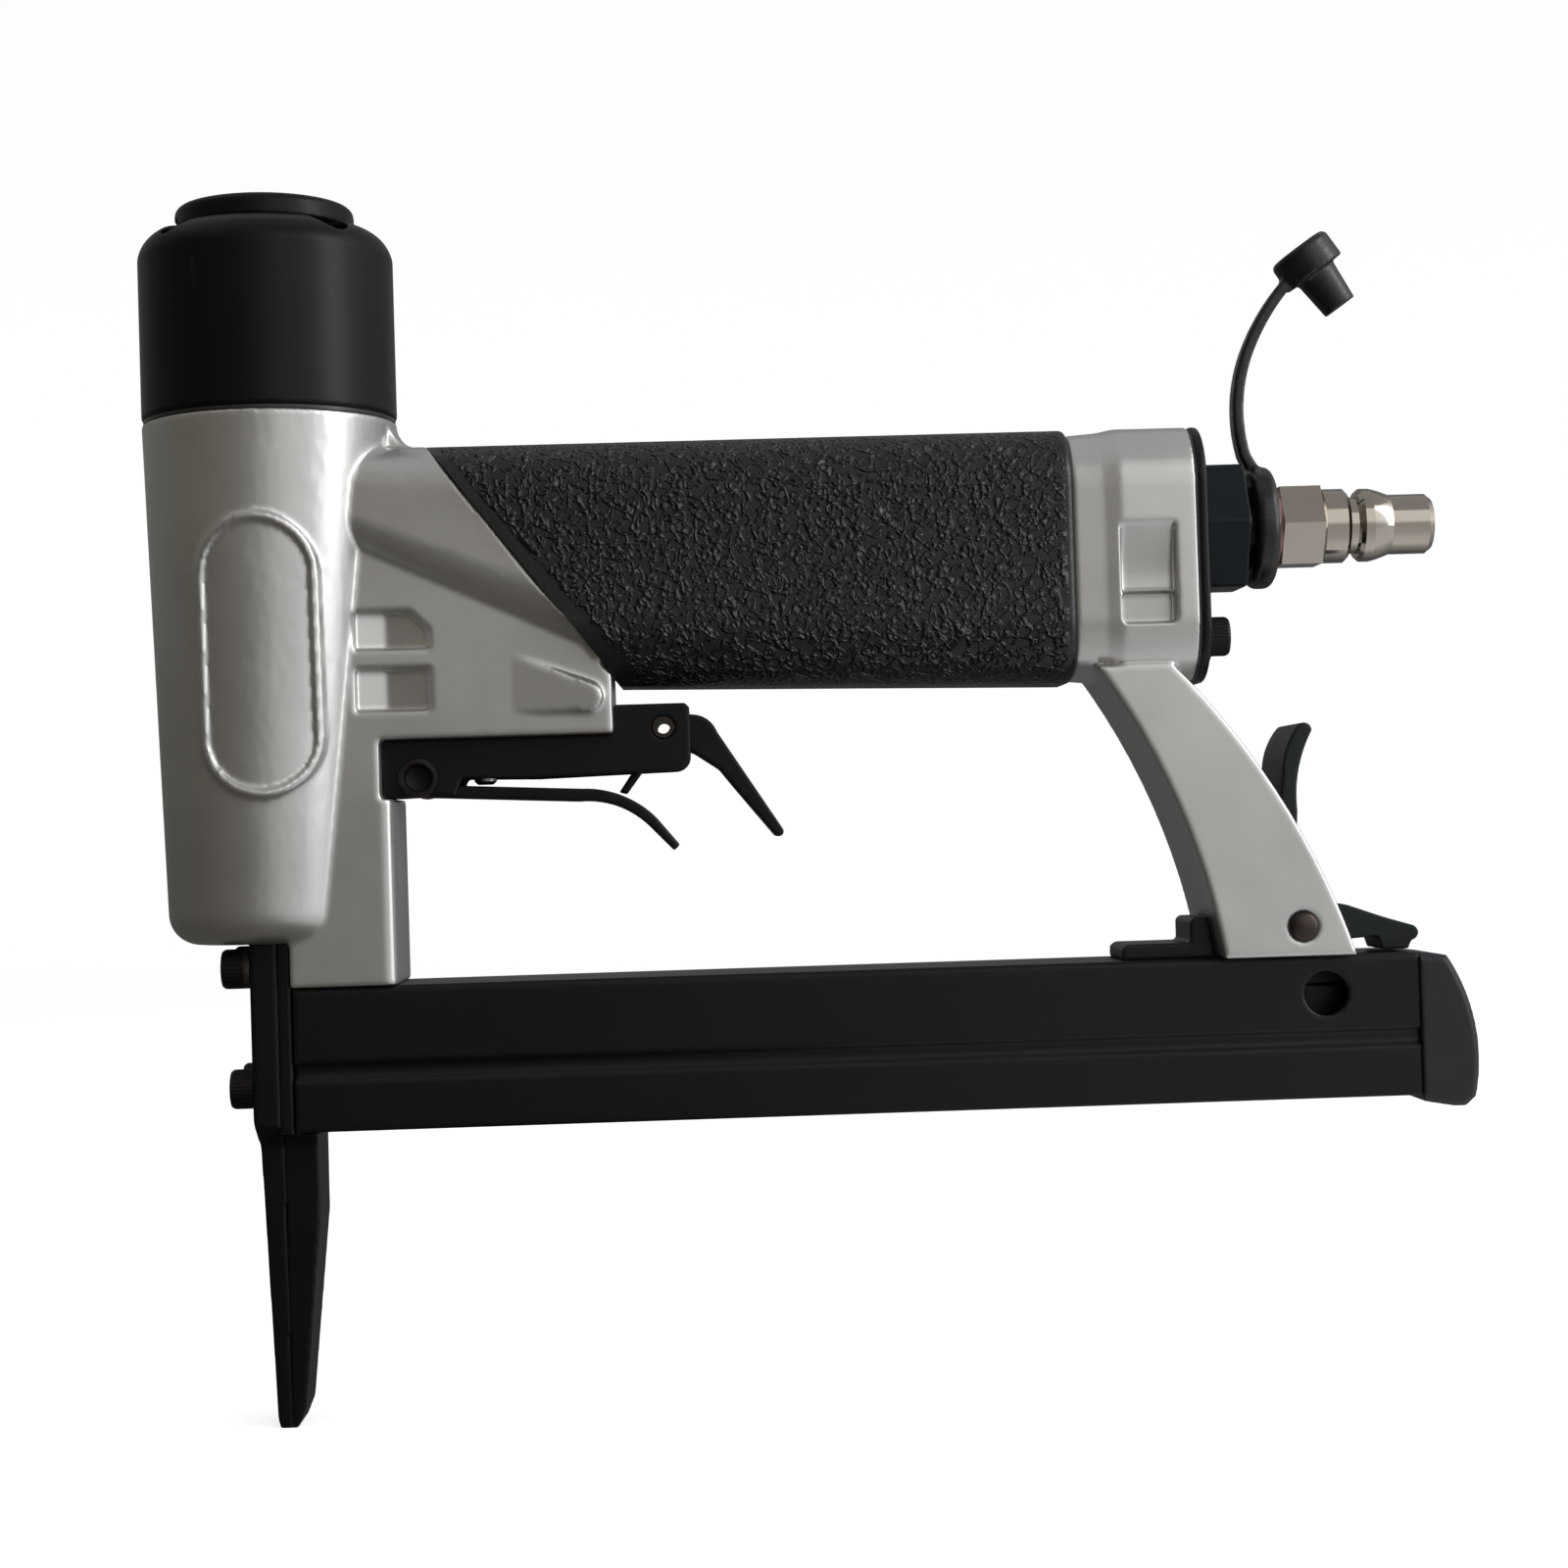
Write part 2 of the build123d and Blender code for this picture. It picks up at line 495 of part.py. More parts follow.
# Driver: the piston with its ring, and the blade that runs down into the nose
PISTON_BOTTOM = 172.0
PISTON_TOP = 184.0
PISTON_RING_Z = 181.0
BLADE_X = -0.55               # middle of the blade's thickness
BLADE_TIP = 74.0
BLADE_TOP = 180.0
BLADE_PIN_Z = 176.0
with BuildPart() as piston:
    with BuildSketch(Plane.XZ):
        with BuildLine():
            Polyline((0, PISTON_BOTTOM), (LINER_BORE - 3, PISTON_BOTTOM),
                     (LINER_BORE - FIT, PISTON_BOTTOM + 3),
                     (LINER_BORE - FIT, PISTON_RING_Z - 0.9), (LINER_BORE - 1.8, PISTON_RING_Z - 0.9),
                     (LINER_BORE - 1.8, PISTON_RING_Z + 0.9), (LINER_BORE - FIT, PISTON_RING_Z + 0.9),
                     (LINER_BORE - FIT, PISTON_TOP), (0, PISTON_TOP), close=True)
        make_face()
    revolve(axis=Axis.Z)
    with Locations((BLADE_X, 0, BLADE_TOP + 0.05)):
        Box(BLADE_THICKNESS + 0.1, 2 * BLADE_HALF + 0.1, 20, align=(Align.CENTER, Align.CENTER, Align.MAX),
            mode=Mode.SUBTRACT)
    with Locations((0, 0, BLADE_PIN_Z)):
        Cylinder(1.3, 30, rotation=(0, 90, 0), mode=Mode.SUBTRACT)
piston.part.label = "piston"
export_step(piston.part, "parts/piston.step")

with BuildPart() as piston_ring:
    add(o_ring(0.8, LINER_BORE - 0.02, PISTON_RING_Z))
piston_ring.part.label = "piston_ring"
export_step(piston_ring.part, "parts/piston_ring.step")

with BuildPart() as driver_blade:
    with Locations((BLADE_X, 0, BLADE_TIP)):
        Box(BLADE_THICKNESS - 0.05, 2 * BLADE_HALF, BLADE_TOP - BLADE_TIP,
            align=(Align.CENTER, Align.CENTER, Align.MIN))
    with Locations((0, 0, BLADE_PIN_Z)):
        Cylinder(1.3, 30, rotation=(0, 90, 0), mode=Mode.SUBTRACT)
driver_blade.part.label = "driver_blade"
export_step(driver_blade.part, "parts/driver_blade.step")

with BuildPart() as blade_pin:
    with Locations((0, 0, BLADE_PIN_Z)):
        Cylinder(1.25, 18, rotation=(0, 90, 0))
blade_pin.part.label = "blade_pin"
export_step(blade_pin.part, "parts/blade_pin.step")

with BuildPart() as bumper:
    with BuildSketch(Plane.XZ):
        with BuildLine():
            Polyline((0, LINER_BOTTOM), (LINER_BORE - 0.1, LINER_BOTTOM), (LINER_BORE - 0.1, 95))
            RadiusArc((LINER_BORE - 0.1, 95), (7.2, 98.5), -4.0)
            Polyline((7.2, 98.5), (0, 98.5), (0, LINER_BOTTOM))
        make_face()
    revolve(axis=Axis.Z)
    with Locations((BLADE_X, 0, 90)):
        Box(BLADE_THICKNESS + 0.7, 2 * BLADE_HALF + 0.8, 30, mode=Mode.SUBTRACT)
bumper.part.label = "bumper"
export_step(bumper.part, "parts/bumper.step")


# ---------------------------------------------------------------- nose

def nose_screws(z, head_x):
    """Planes of a pair of nose screws: heads at head_x, looking forwards."""
    return [Plane(origin=(head_x, y, z), z_dir=(-1, 0, 0)) for y in (NOSE_SCREW_Y, -NOSE_SCREW_Y)]


# Front plate: carries the groove for the blade and narrows into the front of the nose
with BuildPart() as front_plate:
    with BuildSketch(Plane.XZ):
        with BuildLine():
            Polyline((0, 0), (-2.1, 0), (-2.5, 1.4), (-4.1, PLATE_STEP - 2), (PLATE_FRONT, PLATE_STEP + 4),
                     (PLATE_FRONT, PLATE_TOP), (0, PLATE_TOP), close=True)
        make_face()
    extrude(amount=PLATE_HALF, both=True)
    with BuildSketch(Plane.YZ.offset(PLATE_FRONT - 1)):
        with BuildLine():
            Polyline((-PLATE_HALF - 1, -1), (-PLATE_HALF - 1, PLATE_STEP + 2.5),
                     (-PLATE_HALF, PLATE_STEP + 2.5), (-NOSE_HALF, PLATE_STEP - 1),
                     (-NOSE_HALF + 0.8, -1), close=True)
        make_face()
        mirror(about=Plane.YZ)
    extrude(amount=12, mode=Mode.SUBTRACT)
    chamfer(edges().filter_by(Axis.Z).group_by(Axis.X)[0], 0.5)
    with Locations((BLADE_X, 0, -1)):
        Box(BLADE_THICKNESS + 0.1, 2 * BLADE_HALF + 0.2, 100,
            align=(Align.CENTER, Align.CENTER, Align.MIN), mode=Mode.SUBTRACT)
    with Locations(*nose_screws(NOSE_SCREW_UPPER, 0), *nose_screws(NOSE_SCREW_LOWER, 0)):
        Cylinder(M4_RADIUS + 0.1, 20, mode=Mode.SUBTRACT)
front_plate.part.label = "front_plate"
export_step(front_plate.part, "parts/front_plate.step")

# Rear guide: closes the groove, lets the staples in through a window and is the rear of the nose
with BuildPart() as nose_guide:
    with BuildSketch(Plane.XZ):
        with BuildLine():
            Polyline((0, 0), (1.0, 0), (2.4, 3.4), (5.9, 37.0), (5.9, MAGAZINE_BOTTOM - GAP),
                     (COLUMN_FRONT, MAGAZINE_BOTTOM - GAP), (COLUMN_FRONT, PLATE_TOP),
                     (0, PLATE_TOP), close=True)
        make_face()
    extrude(amount=PLATE_HALF, both=True)
    with BuildSketch(Plane.YZ.offset(-1)):
        with BuildLine():
            Polyline((-PLATE_HALF - 1, -1), (-PLATE_HALF - 1, MAGAZINE_BOTTOM - GAP),
                     (-NOSE_HALF - 1, MAGAZINE_BOTTOM - GAP), (-NOSE_HALF, PLATE_STEP - 1),
                     (-NOSE_HALF + 0.8, -1), close=True)
        make_face()
        mirror(about=Plane.YZ)
    extrude(amount=12, mode=Mode.SUBTRACT)
    with Locations((1.5, 0, 56.5)):
        Box(5, 2 * BLADE_HALF + 0.2, 17.5, align=(Align.CENTER, Align.CENTER, Align.MIN),
            mode=Mode.SUBTRACT)
    with Locations(*nose_screws(NOSE_SCREW_UPPER, 0), *nose_screws(NOSE_SCREW_LOWER, 0)):
        Cylinder(M4_RADIUS + 0.1, 20, mode=Mode.SUBTRACT)
nose_guide.part.label = "nose_guide"
export_step(nose_guide.part, "parts/nose_guide.step")

WASHER = 1.0
with BuildPart() as nose_washers:
    with Locations(*nose_screws(NOSE_SCREW_UPPER, PLATE_FRONT)):
        Cylinder(M4_HEAD_RADIUS, WASHER, align=(Align.CENTER, Align.CENTER, Align.MIN))
        Cylinder(M4_RADIUS + 0.1, 9, mode=Mode.SUBTRACT)
nose_washers.part.label = "nose_washers"
export_step(nose_washers.part, "parts/nose_washers.step")

with BuildPart() as nose_screws_upper:
    with Locations(*nose_screws(NOSE_SCREW_UPPER, PLATE_FRONT - WASHER)):
        add(socket_screw(18))
nose_screws_upper.part.label = "nose_screws_upper"
export_step(nose_screws_upper.part, "parts/nose_screws_upper.step")

with BuildPart() as nose_screws_lower:
    with Locations(*nose_screws(NOSE_SCREW_LOWER, PLATE_FRONT)):
        add(socket_screw(14))
nose_screws_lower.part.label = "nose_screws_lower"
export_step(nose_screws_lower.part, "parts/nose_screws_lower.step")


# ---------------------------------------------------------------- magazine

# Shell: a channel open downwards, with lips that carry the rail, a groove pressed into each side,
# lugs at the front for the nose screws and a hole near the rear
SHELL_HOLE = (184.3, 70.6)
with BuildPart() as magazine_shell:
    with BuildSketch(Plane.YZ.offset(MAGAZINE_FRONT)):
        with Locations((0, (MAGAZINE_TOP + MAGAZINE_BOTTOM) / 2)):
            Rectangle(2 * MAGAZINE_HALF, MAGAZINE_TOP - MAGAZINE_BOTTOM)
        fillet(vertices().group_by(Axis.Y)[-1], 1.0)
        with Locations((0, (MAGAZINE_TOP + MAGAZINE_BOTTOM) / 2)):
            Rectangle(2 * (MAGAZINE_HALF - MAGAZINE_WALL),
                      MAGAZINE_TOP - MAGAZINE_BOTTOM - 2 * MAGAZINE_WALL + 0.4, mode=Mode.SUBTRACT)
        with Locations((0, MAGAZINE_BOTTOM)):
            Rectangle(10.4, 10, mode=Mode.SUBTRACT)
        for side in (1, -1):
            with BuildLine():
                Polyline((side * (MAGAZINE_HALF + 1), GROOVE_Z + 2.6),
                         (side * (MAGAZINE_HALF - 0.9), GROOVE_Z + 0.9),
                         (side * (MAGAZINE_HALF - 0.9), GROOVE_Z - 0.9),
                         (side * (MAGAZINE_HALF + 1), GROOVE_Z - 2.6), close=True)
            make_face(mode=Mode.SUBTRACT)
    extrude(amount=MAGAZINE_REAR - MAGAZINE_FRONT)
    with Locations((MAGAZINE_FRONT, NOSE_SCREW_Y, NOSE_SCREW_LOWER),
                   (MAGAZINE_FRONT, -NOSE_SCREW_Y, NOSE_SCREW_LOWER)):
        Box(9.4, 4.2, 5.6, align=(Align.MIN, Align.CENTER, Align.CENTER))
    with Locations(*nose_screws(NOSE_SCREW_LOWER, MAGAZINE_FRONT)):
        Cylinder(M4_RADIUS + 0.05, 30, mode=Mode.SUBTRACT)
    with Locations(across(SHELL_HOLE)):
        Cylinder(3.9, 40, mode=Mode.SUBTRACT)
magazine_shell.part.label = "magazine_shell"
export_step(magazine_shell.part, "parts/magazine_shell.step")

END_PIN = (197.5, 0, 59.0)     # pin that ties the end cap to the rail

# Rail that the staples straddle, on a base plate that slides on the shell's lips
RAIL_FRONT = MAGAZINE_FRONT + 0.2
with BuildPart() as magazine_rail:
    with BuildSketch(Plane.YZ.offset(RAIL_FRONT)):
        with Locations((0, RAIL_BASE + 0.9)):
            Rectangle(17.6, 1.8)
        for side in (1, -1):
            with Locations((side * 3.05, (RAIL_BASE + RAIL_TOP) / 2)):
                Rectangle(0.9, RAIL_TOP - RAIL_BASE)
    extrude(amount=MAGAZINE_REAR - RAIL_FRONT)
    with Locations(END_PIN):
        Cylinder(1.0 + FIT, 20, rotation=(90, 0, 0), mode=Mode.SUBTRACT)
magazine_rail.part.label = "magazine_rail"
export_step(magazine_rail.part, "parts/magazine_rail.step")

# End cap of the slide: a rounded hand grip with a tongue that enters the rail
with BuildPart() as magazine_end_cap:
    with BuildSketch(Plane.XZ):
        with BuildLine():
            Polyline((MAGAZINE_REAR, 51.0), (MAGAZINE_REAR, MAGAZINE_TOP), (206.0, MAGAZINE_TOP - 0.7))
            ThreePointArc((206.0, MAGAZINE_TOP - 0.7), (210.7, 64.5), (210.4, 51.6))
            Polyline((210.4, 51.6), (208.6, 50.0), (206.5, 50.0), (MAGAZINE_REAR, 51.0))
        make_face()
    extrude(amount=MAGAZINE_HALF + 0.6, both=True)
    chamfer(faces().filter_by(Axis.Y).edges().filter_by_position(Axis.X, 203, 212), 1.0)
    with Locations((194.5, 0, 58.9)):
        Box(7, 5.0, 5.4, align=(Align.MIN, Align.CENTER, Align.CENTER))
    # block above the rod, behind the hole in the shell's side
    with Locations((178.0, 0, 68.5)):
        Box(MAGAZINE_REAR - 178.0 + 1, 5.0, 6.2, align=(Align.MIN, Align.CENTER, Align.MIN))
    with Locations(END_PIN):
        Cylinder(1.0 + FIT, 20, rotation=(90, 0, 0), mode=Mode.SUBTRACT)
    with Locations((MAGAZINE_REAR - 1, 0, ROD_Z)):
        Cylinder(ROD_RADIUS + FIT, 5.1, rotation=(0, 90, 0), align=(Align.CENTER, Align.CENTER, Align.MIN),
                 mode=Mode.SUBTRACT)
magazine_end_cap.part.label = "magazine_end_cap"
export_step(magazine_end_cap.part, "parts/magazine_end_cap.step")

with BuildPart() as end_cap_pin:
    with Locations(END_PIN):
        Cylinder(1.0, 7.6, rotation=(90, 0, 0))
end_cap_pin.part.label = "end_cap_pin"
export_step(end_cap_pin.part, "parts/end_cap_pin.step")

# Pusher: a saddle over the rail, with a block inside it that runs on the guide rod
PUSHER_FRONT = 3.2
PUSHER_LENGTH = 17.8
with BuildPart() as pusher:
    with BuildSketch(Plane.YZ.offset(PUSHER_FRONT)):
        with Locations((0, 65.2)):
            Rectangle(8.8, 17.0)
        for side in (1, -1):
            with Locations((side * 3.05, 60)):
                Rectangle(1.1, 24.2, mode=Mode.SUBTRACT)
        with Locations((0, 59)):
            Rectangle(5.2, 8, mode=Mode.SUBTRACT)
        with Locations((0, ROD_Z)):
            Circle(ROD_RADIUS + FIT, mode=Mode.SUBTRACT)
    extrude(amount=PUSHER_LENGTH)
pusher.part.label = "pusher"
export_step(pusher.part, "parts/pusher.step")

with BuildPart() as guide_rod:
    with Locations((4.0, 0, ROD_Z)):
        Cylinder(ROD_RADIUS, MAGAZINE_REAR + 4 - 4.0, rotation=(0, 90, 0),
                 align=(Align.CENTER, Align.CENTER, Align.MIN))
guide_rod.part.label = "guide_rod"
export_step(guide_rod.part, "parts/guide_rod.step")

SPRING_FRONT = PUSHER_FRONT + PUSHER_LENGTH + 0.1
with BuildPart() as pusher_spring:
    with Locations(Plane(origin=(SPRING_FRONT, 0, ROD_Z), z_dir=(1, 0, 0))):
        add(coil(1.7, 0.3, MAGAZINE_REAR - 0.2 - SPRING_FRONT, 44))
pusher_spring.part.label = "pusher_spring"
export_step(pusher_spring.part, "parts/pusher_spring.step")

# Clip that ties the shell to the arm: a plate on the shell with an ear against the arm
with BuildPart() as magazine_clip:
    with BuildSketch(Plane.XZ):
        with BuildLine():
            Polyline((148.8, MAGAZINE_TOP), (148.8, 79.4), (149.8, 80.2), (161.0, 80.2), (161.0, 83.9),
                     (161.7, 84.6), (164.3, 84.6), (165.4, MAGAZINE_TOP), close=True)
        make_face()
    extrude(amount=8.0, both=True)
magazine_clip.part.label = "magazine_clip"
export_step(magazine_clip.part, "parts/magazine_clip.step")


# ---------------------------------------------------------------- latch

LATCH_HALF = 9.6
with BuildPart() as latch_lever:
    # thumb paddle: a bowed plate that rises from the pivot
    with BuildSketch(Plane.XZ):
        with BuildLine():
            Line((180.6, 82.7), (176.6, 83.6))
            ThreePointArc((176.6, 83.6), (177.0, 97.5), (178.2, 110.0))
            ThreePointArc((178.2, 110.0), (179.2, 115.0), (181.2, 118.2))
            ThreePointArc((181.2, 118.2), (183.0, 118.4), (183.6, 117.2))
            ThreePointArc((183.6, 117.2), (181.6, 112.5), (180.6, 103.0))
            ThreePointArc((180.6, 103.0), (180.2, 93.0), (180.6, 82.7))
        make_face()
    extrude(amount=LATCH_HALF, both=True)
    # hook that reaches back over the end of the shell
    with BuildSketch(Plane.XZ):
        with BuildLine():
            Polyline((178.5, 84.0), (182.0, 87.4), (189.6, 86.0), (196.2, 83.6), (201.4, 82.0))
            ThreePointArc((201.4, 82.0), (202.3, 80.6), (201.0, 79.3))
            Polyline((201.0, 79.3), (200.4, 77.8), (195.8, 77.8), (195.0, 80.2), (186.0, 79.6),
                     (178.5, 84.0))
        make_face()
    extrude(amount=6.0, both=True)
    extrude(side_disc(LATCH_PIVOT, 4.6), amount=LATCH_HALF, both=True)
    # room for the spring in the middle of the hub
    with Locations(across(LATCH_PIVOT)):
        Cylinder(4.4, 7.0, mode=Mode.SUBTRACT)
        Cylinder(2.5 + FIT, 40, mode=Mode.SUBTRACT)
latch_lever.part.label = "latch_lever"
export_step(latch_lever.part, "parts/latch_lever.step")

with BuildPart() as latch_pin:
    with Locations(across(LATCH_PIVOT)):
        Cylinder(2.5, 29.6)
    chamfer(edges().filter_by(GeomType.CIRCLE), 0.4)
latch_pin.part.label = "latch_pin"
export_step(latch_pin.part, "parts/latch_pin.step")

with BuildPart() as latch_spring:
    with Locations(across(LATCH_PIVOT, -3.2)):
        add(coil(3.4, 0.5, 6.4, 5))
latch_spring.part.label = "latch_spring"
export_step(latch_spring.part, "parts/latch_spring.step")


# ---------------------------------------------------------------- trigger

BRACKET_HALF = 8.0
BRACKET_WALL = 1.4
BRACKET_REAR = 73.4
with BuildPart() as trigger_bracket:
    with BuildSketch(Plane.XZ):
        with BuildLine():
            Polyline((COLUMN_STEP_X, 110.0), (COLUMN_STEP_X, WEB_BOTTOM), (WEB_REAR + 0.1, WEB_BOTTOM),
                     (WEB_REAR + 0.1, 125.4), (BRACKET_REAR - 0.8, 125.4), (BRACKET_REAR, 124.6),
                     (BRACKET_REAR, 116.2))
            ThreePointArc((BRACKET_REAR, 116.2), (BRACKET_REAR - 0.8, 114.3), (BRACKET_REAR - 2.7, 113.5))
            Polyline((BRACKET_REAR - 2.7, 113.5), (46.0, 112.9), (33.0, 113.2), (31.8, 110.4),
                     (COLUMN_STEP_X, 110.0))
        make_face()
    extrude(amount=BRACKET_HALF, both=True)
    inner = BRACKET_HALF - BRACKET_WALL
    with Locations((COLUMN_STEP_X + BRACKET_WALL, 0, WEB_BOTTOM - BRACKET_WALL)):
        Box(100, 2 * inner, 20, align=(Align.MIN, Align.CENTER, Align.MAX), mode=Mode.SUBTRACT)
    with Locations((WEB_REAR + 0.1 + BRACKET_WALL, 0, 116)):
        Box(100, 2 * inner, 20, align=(Align.MIN, Align.CENTER, Align.MIN), mode=Mode.SUBTRACT)
    with Locations(across(TRIGGER_PIVOT)):
        Cylinder(2.0 + FIT, 40, mode=Mode.SUBTRACT)
    with Locations(across(SAFETY_PIVOT)):
        Cylinder(1.9 + FIT, 40, mode=Mode.SUBTRACT)
    with Locations((VALVE_X, 0, WEB_BOTTOM)):
        Cylinder(3.4, 9, mode=Mode.SUBTRACT)
    with Locations(*[(x, 0, WEB_BOTTOM) for x in BRACKET_SCREWS_X]):
        Cylinder(1.6, 9, mode=Mode.SUBTRACT)
trigger_bracket.part.label = "trigger_bracket"
export_step(trigger_bracket.part, "parts/trigger_bracket.step")

with BuildPart() as bracket_screws:
    with Locations(*[Plane(origin=(x, 0, WEB_BOTTOM - BRACKET_WALL), z_dir=(0, 0, -1))
                     for x in BRACKET_SCREWS_X]):
        add(socket_screw(9, 2.7, 1.6, 1.5, 2.0))
bracket_screws.part.label = "bracket_screws"
export_step(bracket_screws.part, "parts/bracket_screws.step")

# Trigger pin: round heads outside the bracket's cheeks
with BuildPart() as trigger_pin:
    with Locations(across(TRIGGER_PIVOT)):
        Cylinder(2.0, 2 * BRACKET_HALF + 1)
    for side in (1, -1):
        with Locations(across(TRIGGER_PIVOT, side * (BRACKET_HALF + 0.75))):
            Cylinder(3.5, 1.5)
    chamfer(faces().filter_by(GeomType.PLANE).group_by(Axis.Y)[0].edges(), 0.4)
    chamfer(faces().filter_by(GeomType.PLANE).group_by(Axis.Y)[-1].edges(), 0.4)
trigger_pin.part.label = "trigger_pin"
export_step(trigger_pin.part, "parts/trigger_pin.step")

TRIGGER_HALF = 6.1
with BuildPart() as trigger:
    with BuildSketch(Plane.XZ):
        with BuildLine():
            Line((25.4, 110.1), (53.0, 108.6))
            ThreePointArc((53.0, 108.6), (60.6, 107.3), (66.0, 103.5))
            Polyline((66.0, 103.5), (70.0, 99.3), (71.0, 100.3), (67.0, 105.2))
            ThreePointArc((67.0, 105.2), (61.5, 109.2), (54.0, 110.8))
            Polyline((54.0, 110.8), (32.0, 112.0), (25.4, 116.0), (25.4, 110.1))
        make_face()
    extrude(amount=TRIGGER_HALF, both=True)
    extrude(side_disc(TRIGGER_PIVOT, 3.3), amount=TRIGGER_HALF, both=True)
    with Locations(across(TRIGGER_PIVOT)):
        Cylinder(2.0 + FIT, 40, mode=Mode.SUBTRACT)
    # slot through which the safety lever's foot passes
    with Locations((57.5, 0, 95)):
        Box(11.3, 3.0, 30, align=(Align.MIN, Align.CENTER, Align.MIN), mode=Mode.SUBTRACT)
trigger.part.label = "trigger"
export_step(trigger.part, "parts/trigger.step")

with BuildPart() as safety_pin:
    with Locations(across(SAFETY_PIVOT)):
        Cylinder(1.9, 2 * BRACKET_HALF + 0.6)
        Cylinder(1.15, 40, mode=Mode.SUBTRACT)
safety_pin.part.label = "safety_pin"
export_step(safety_pin.part, "parts/safety_pin.step")

SAFETY_HALF = 6.1
with BuildPart() as safety_lever:
    # outer arm: a channel that narrows into a flat finger rest
    with BuildSketch(Plane.XZ):
        with BuildLine():
            Polyline((69.5, 124.2), (73.6, 123.4))
            ThreePointArc((73.6, 123.4), (76.6, 122.4), (78.2, 120.2))
            Polyline((78.2, 120.2), (89.4, 102.6))
            ThreePointArc((89.4, 102.6), (89.2, 101.5), (88.0, 101.5))
            Polyline((88.0, 101.5), (80.4, 111.0), (78.4, 113.6), (74.0, 116.6), (69.5, 118.2),
                     (69.5, 124.2))
        make_face()
    extrude(amount=SAFETY_HALF, both=True)
    with BuildSketch(Plane.XZ):
        with BuildLine():
            Polyline((66, 121.8), (73.2, 121.6), (76.2, 119.4), (85.5, 104.8), (60, 104.8), close=True)
        make_face()
    extrude(amount=SAFETY_HALF - 1.4, both=True, mode=Mode.SUBTRACT)
    # hub, and the foot that lies above the trigger
    with Locations(across(SAFETY_PIVOT, -2.0)):
        Cylinder(3.2, 8.2)
    with Locations(across(SAFETY_PIVOT, SAFETY_HALF - 0.8)):
        Cylinder(3.2, 1.6)
    with BuildSketch(Plane.XZ):
        with BuildLine():
            Polyline((66.6, 119.0), (60.4, 110.0), (61.8, 109.6), (68.6, 118.6), close=True)
        make_face()
    extrude(amount=1.0, both=True)
    with Locations(across(SAFETY_PIVOT)):
        Cylinder(1.9 + FIT, 40, mode=Mode.SUBTRACT)
safety_lever.part.label = "safety_lever"
export_step(safety_lever.part, "parts/safety_lever.step")

with BuildPart() as safety_spring:
    with Locations(across(SAFETY_PIVOT, 2.3)):
        add(coil(2.7, 0.35, 2.1, 2.5))
safety_spring.part.label = "safety_spring"
export_step(safety_spring.part, "parts/safety_spring.step")


# ---------------------------------------------------------------- trigger valve

VALVE_SIDE = Plane(origin=(VALVE_X, 0, 0), x_dir=(1, 0, 0), z_dir=(0, -1, 0))
VALVE_AXIS = Axis((VALVE_X, 0, 0), (0, 0, 1))
BUSH_BOTTOM = WEB_BOTTOM + 0.1
BUSH_TOP = 136.4
STEM_RADIUS = 2.0
with BuildPart() as valve_bush:
    with BuildSketch(VALVE_SIDE):
        with BuildLine():
            Polyline((STEM_RADIUS + FIT, BUSH_BOTTOM), (5.95, BUSH_BOTTOM), (5.95, 129.1), (5.1, 129.1),
                     (5.1, 130.9), (5.95, 130.9), (5.95, BUSH_TOP), (4.2, BUSH_TOP), (4.2, 124.4),
                     (STEM_RADIUS + FIT, 124.4), close=True)
        make_face()
    revolve(axis=VALVE_AXIS)
valve_bush.part.label = "valve_bush"
export_step(valve_bush.part, "parts/valve_bush.step")

with BuildPart() as valve_seat:
    with BuildSketch(VALVE_SIDE):
        with BuildLine():
            Polyline((STEM_RADIUS + FIT, BUSH_TOP), (5.9, BUSH_TOP), (5.9, BUSH_TOP + 2),
                     (3.2, BUSH_TOP + 2), (STEM_RADIUS + FIT, BUSH_TOP + 1), close=True)
        make_face()
    revolve(axis=VALVE_AXIS)
valve_seat.part.label = "valve_seat"
export_step(valve_seat.part, "parts/valve_seat.step")

with BuildPart() as valve_stem:
    with BuildSketch(VALVE_SIDE):
        with BuildLine():
            Polyline((0, 112.1), (1.4, 112.1), (STEM_RADIUS, 112.7), (STEM_RADIUS, 128.0), (4.1, 128.0),
                     (4.1, 129.6), (STEM_RADIUS, 129.6), (STEM_RADIUS, 141.0), (0, 141.0), close=True)
        make_face()
    revolve(axis=VALVE_AXIS)
valve_stem.part.label = "valve_stem"
export_step(valve_stem.part, "parts/valve_stem.step")

with BuildPart() as valve_spring:
    with Locations((VALVE_X, 0, 129.7)):
        add(coil(3.1, 0.45, BUSH_TOP - 0.1 - 129.7, 3.5))
valve_spring.part.label = "valve_spring"
export_step(valve_spring.part, "parts/valve_spring.step")

with BuildPart() as valve_o_ring:
    with Locations((VALVE_X, 0, 130.0)):
        Torus(5.56, 0.42)
valve_o_ring.part.label = "valve_o_ring"
export_step(valve_o_ring.part, "parts/valve_o_ring.step")


# ---------------------------------------------------------------- air inlet

GASKET = 0.4
PLATE_X = END_X + GASKET      # front face of the end plate
PLATE_REAR = 165.2
BUSHING_REAR = 173.6


def end_plane(x):
    """A plane across the tool at x, on the air inlet's axis, looking backwards."""
    return Plane(origin=(x, 0, AIR_Z), x_dir=(0, 1, 0), z_dir=(1, 0, 0))


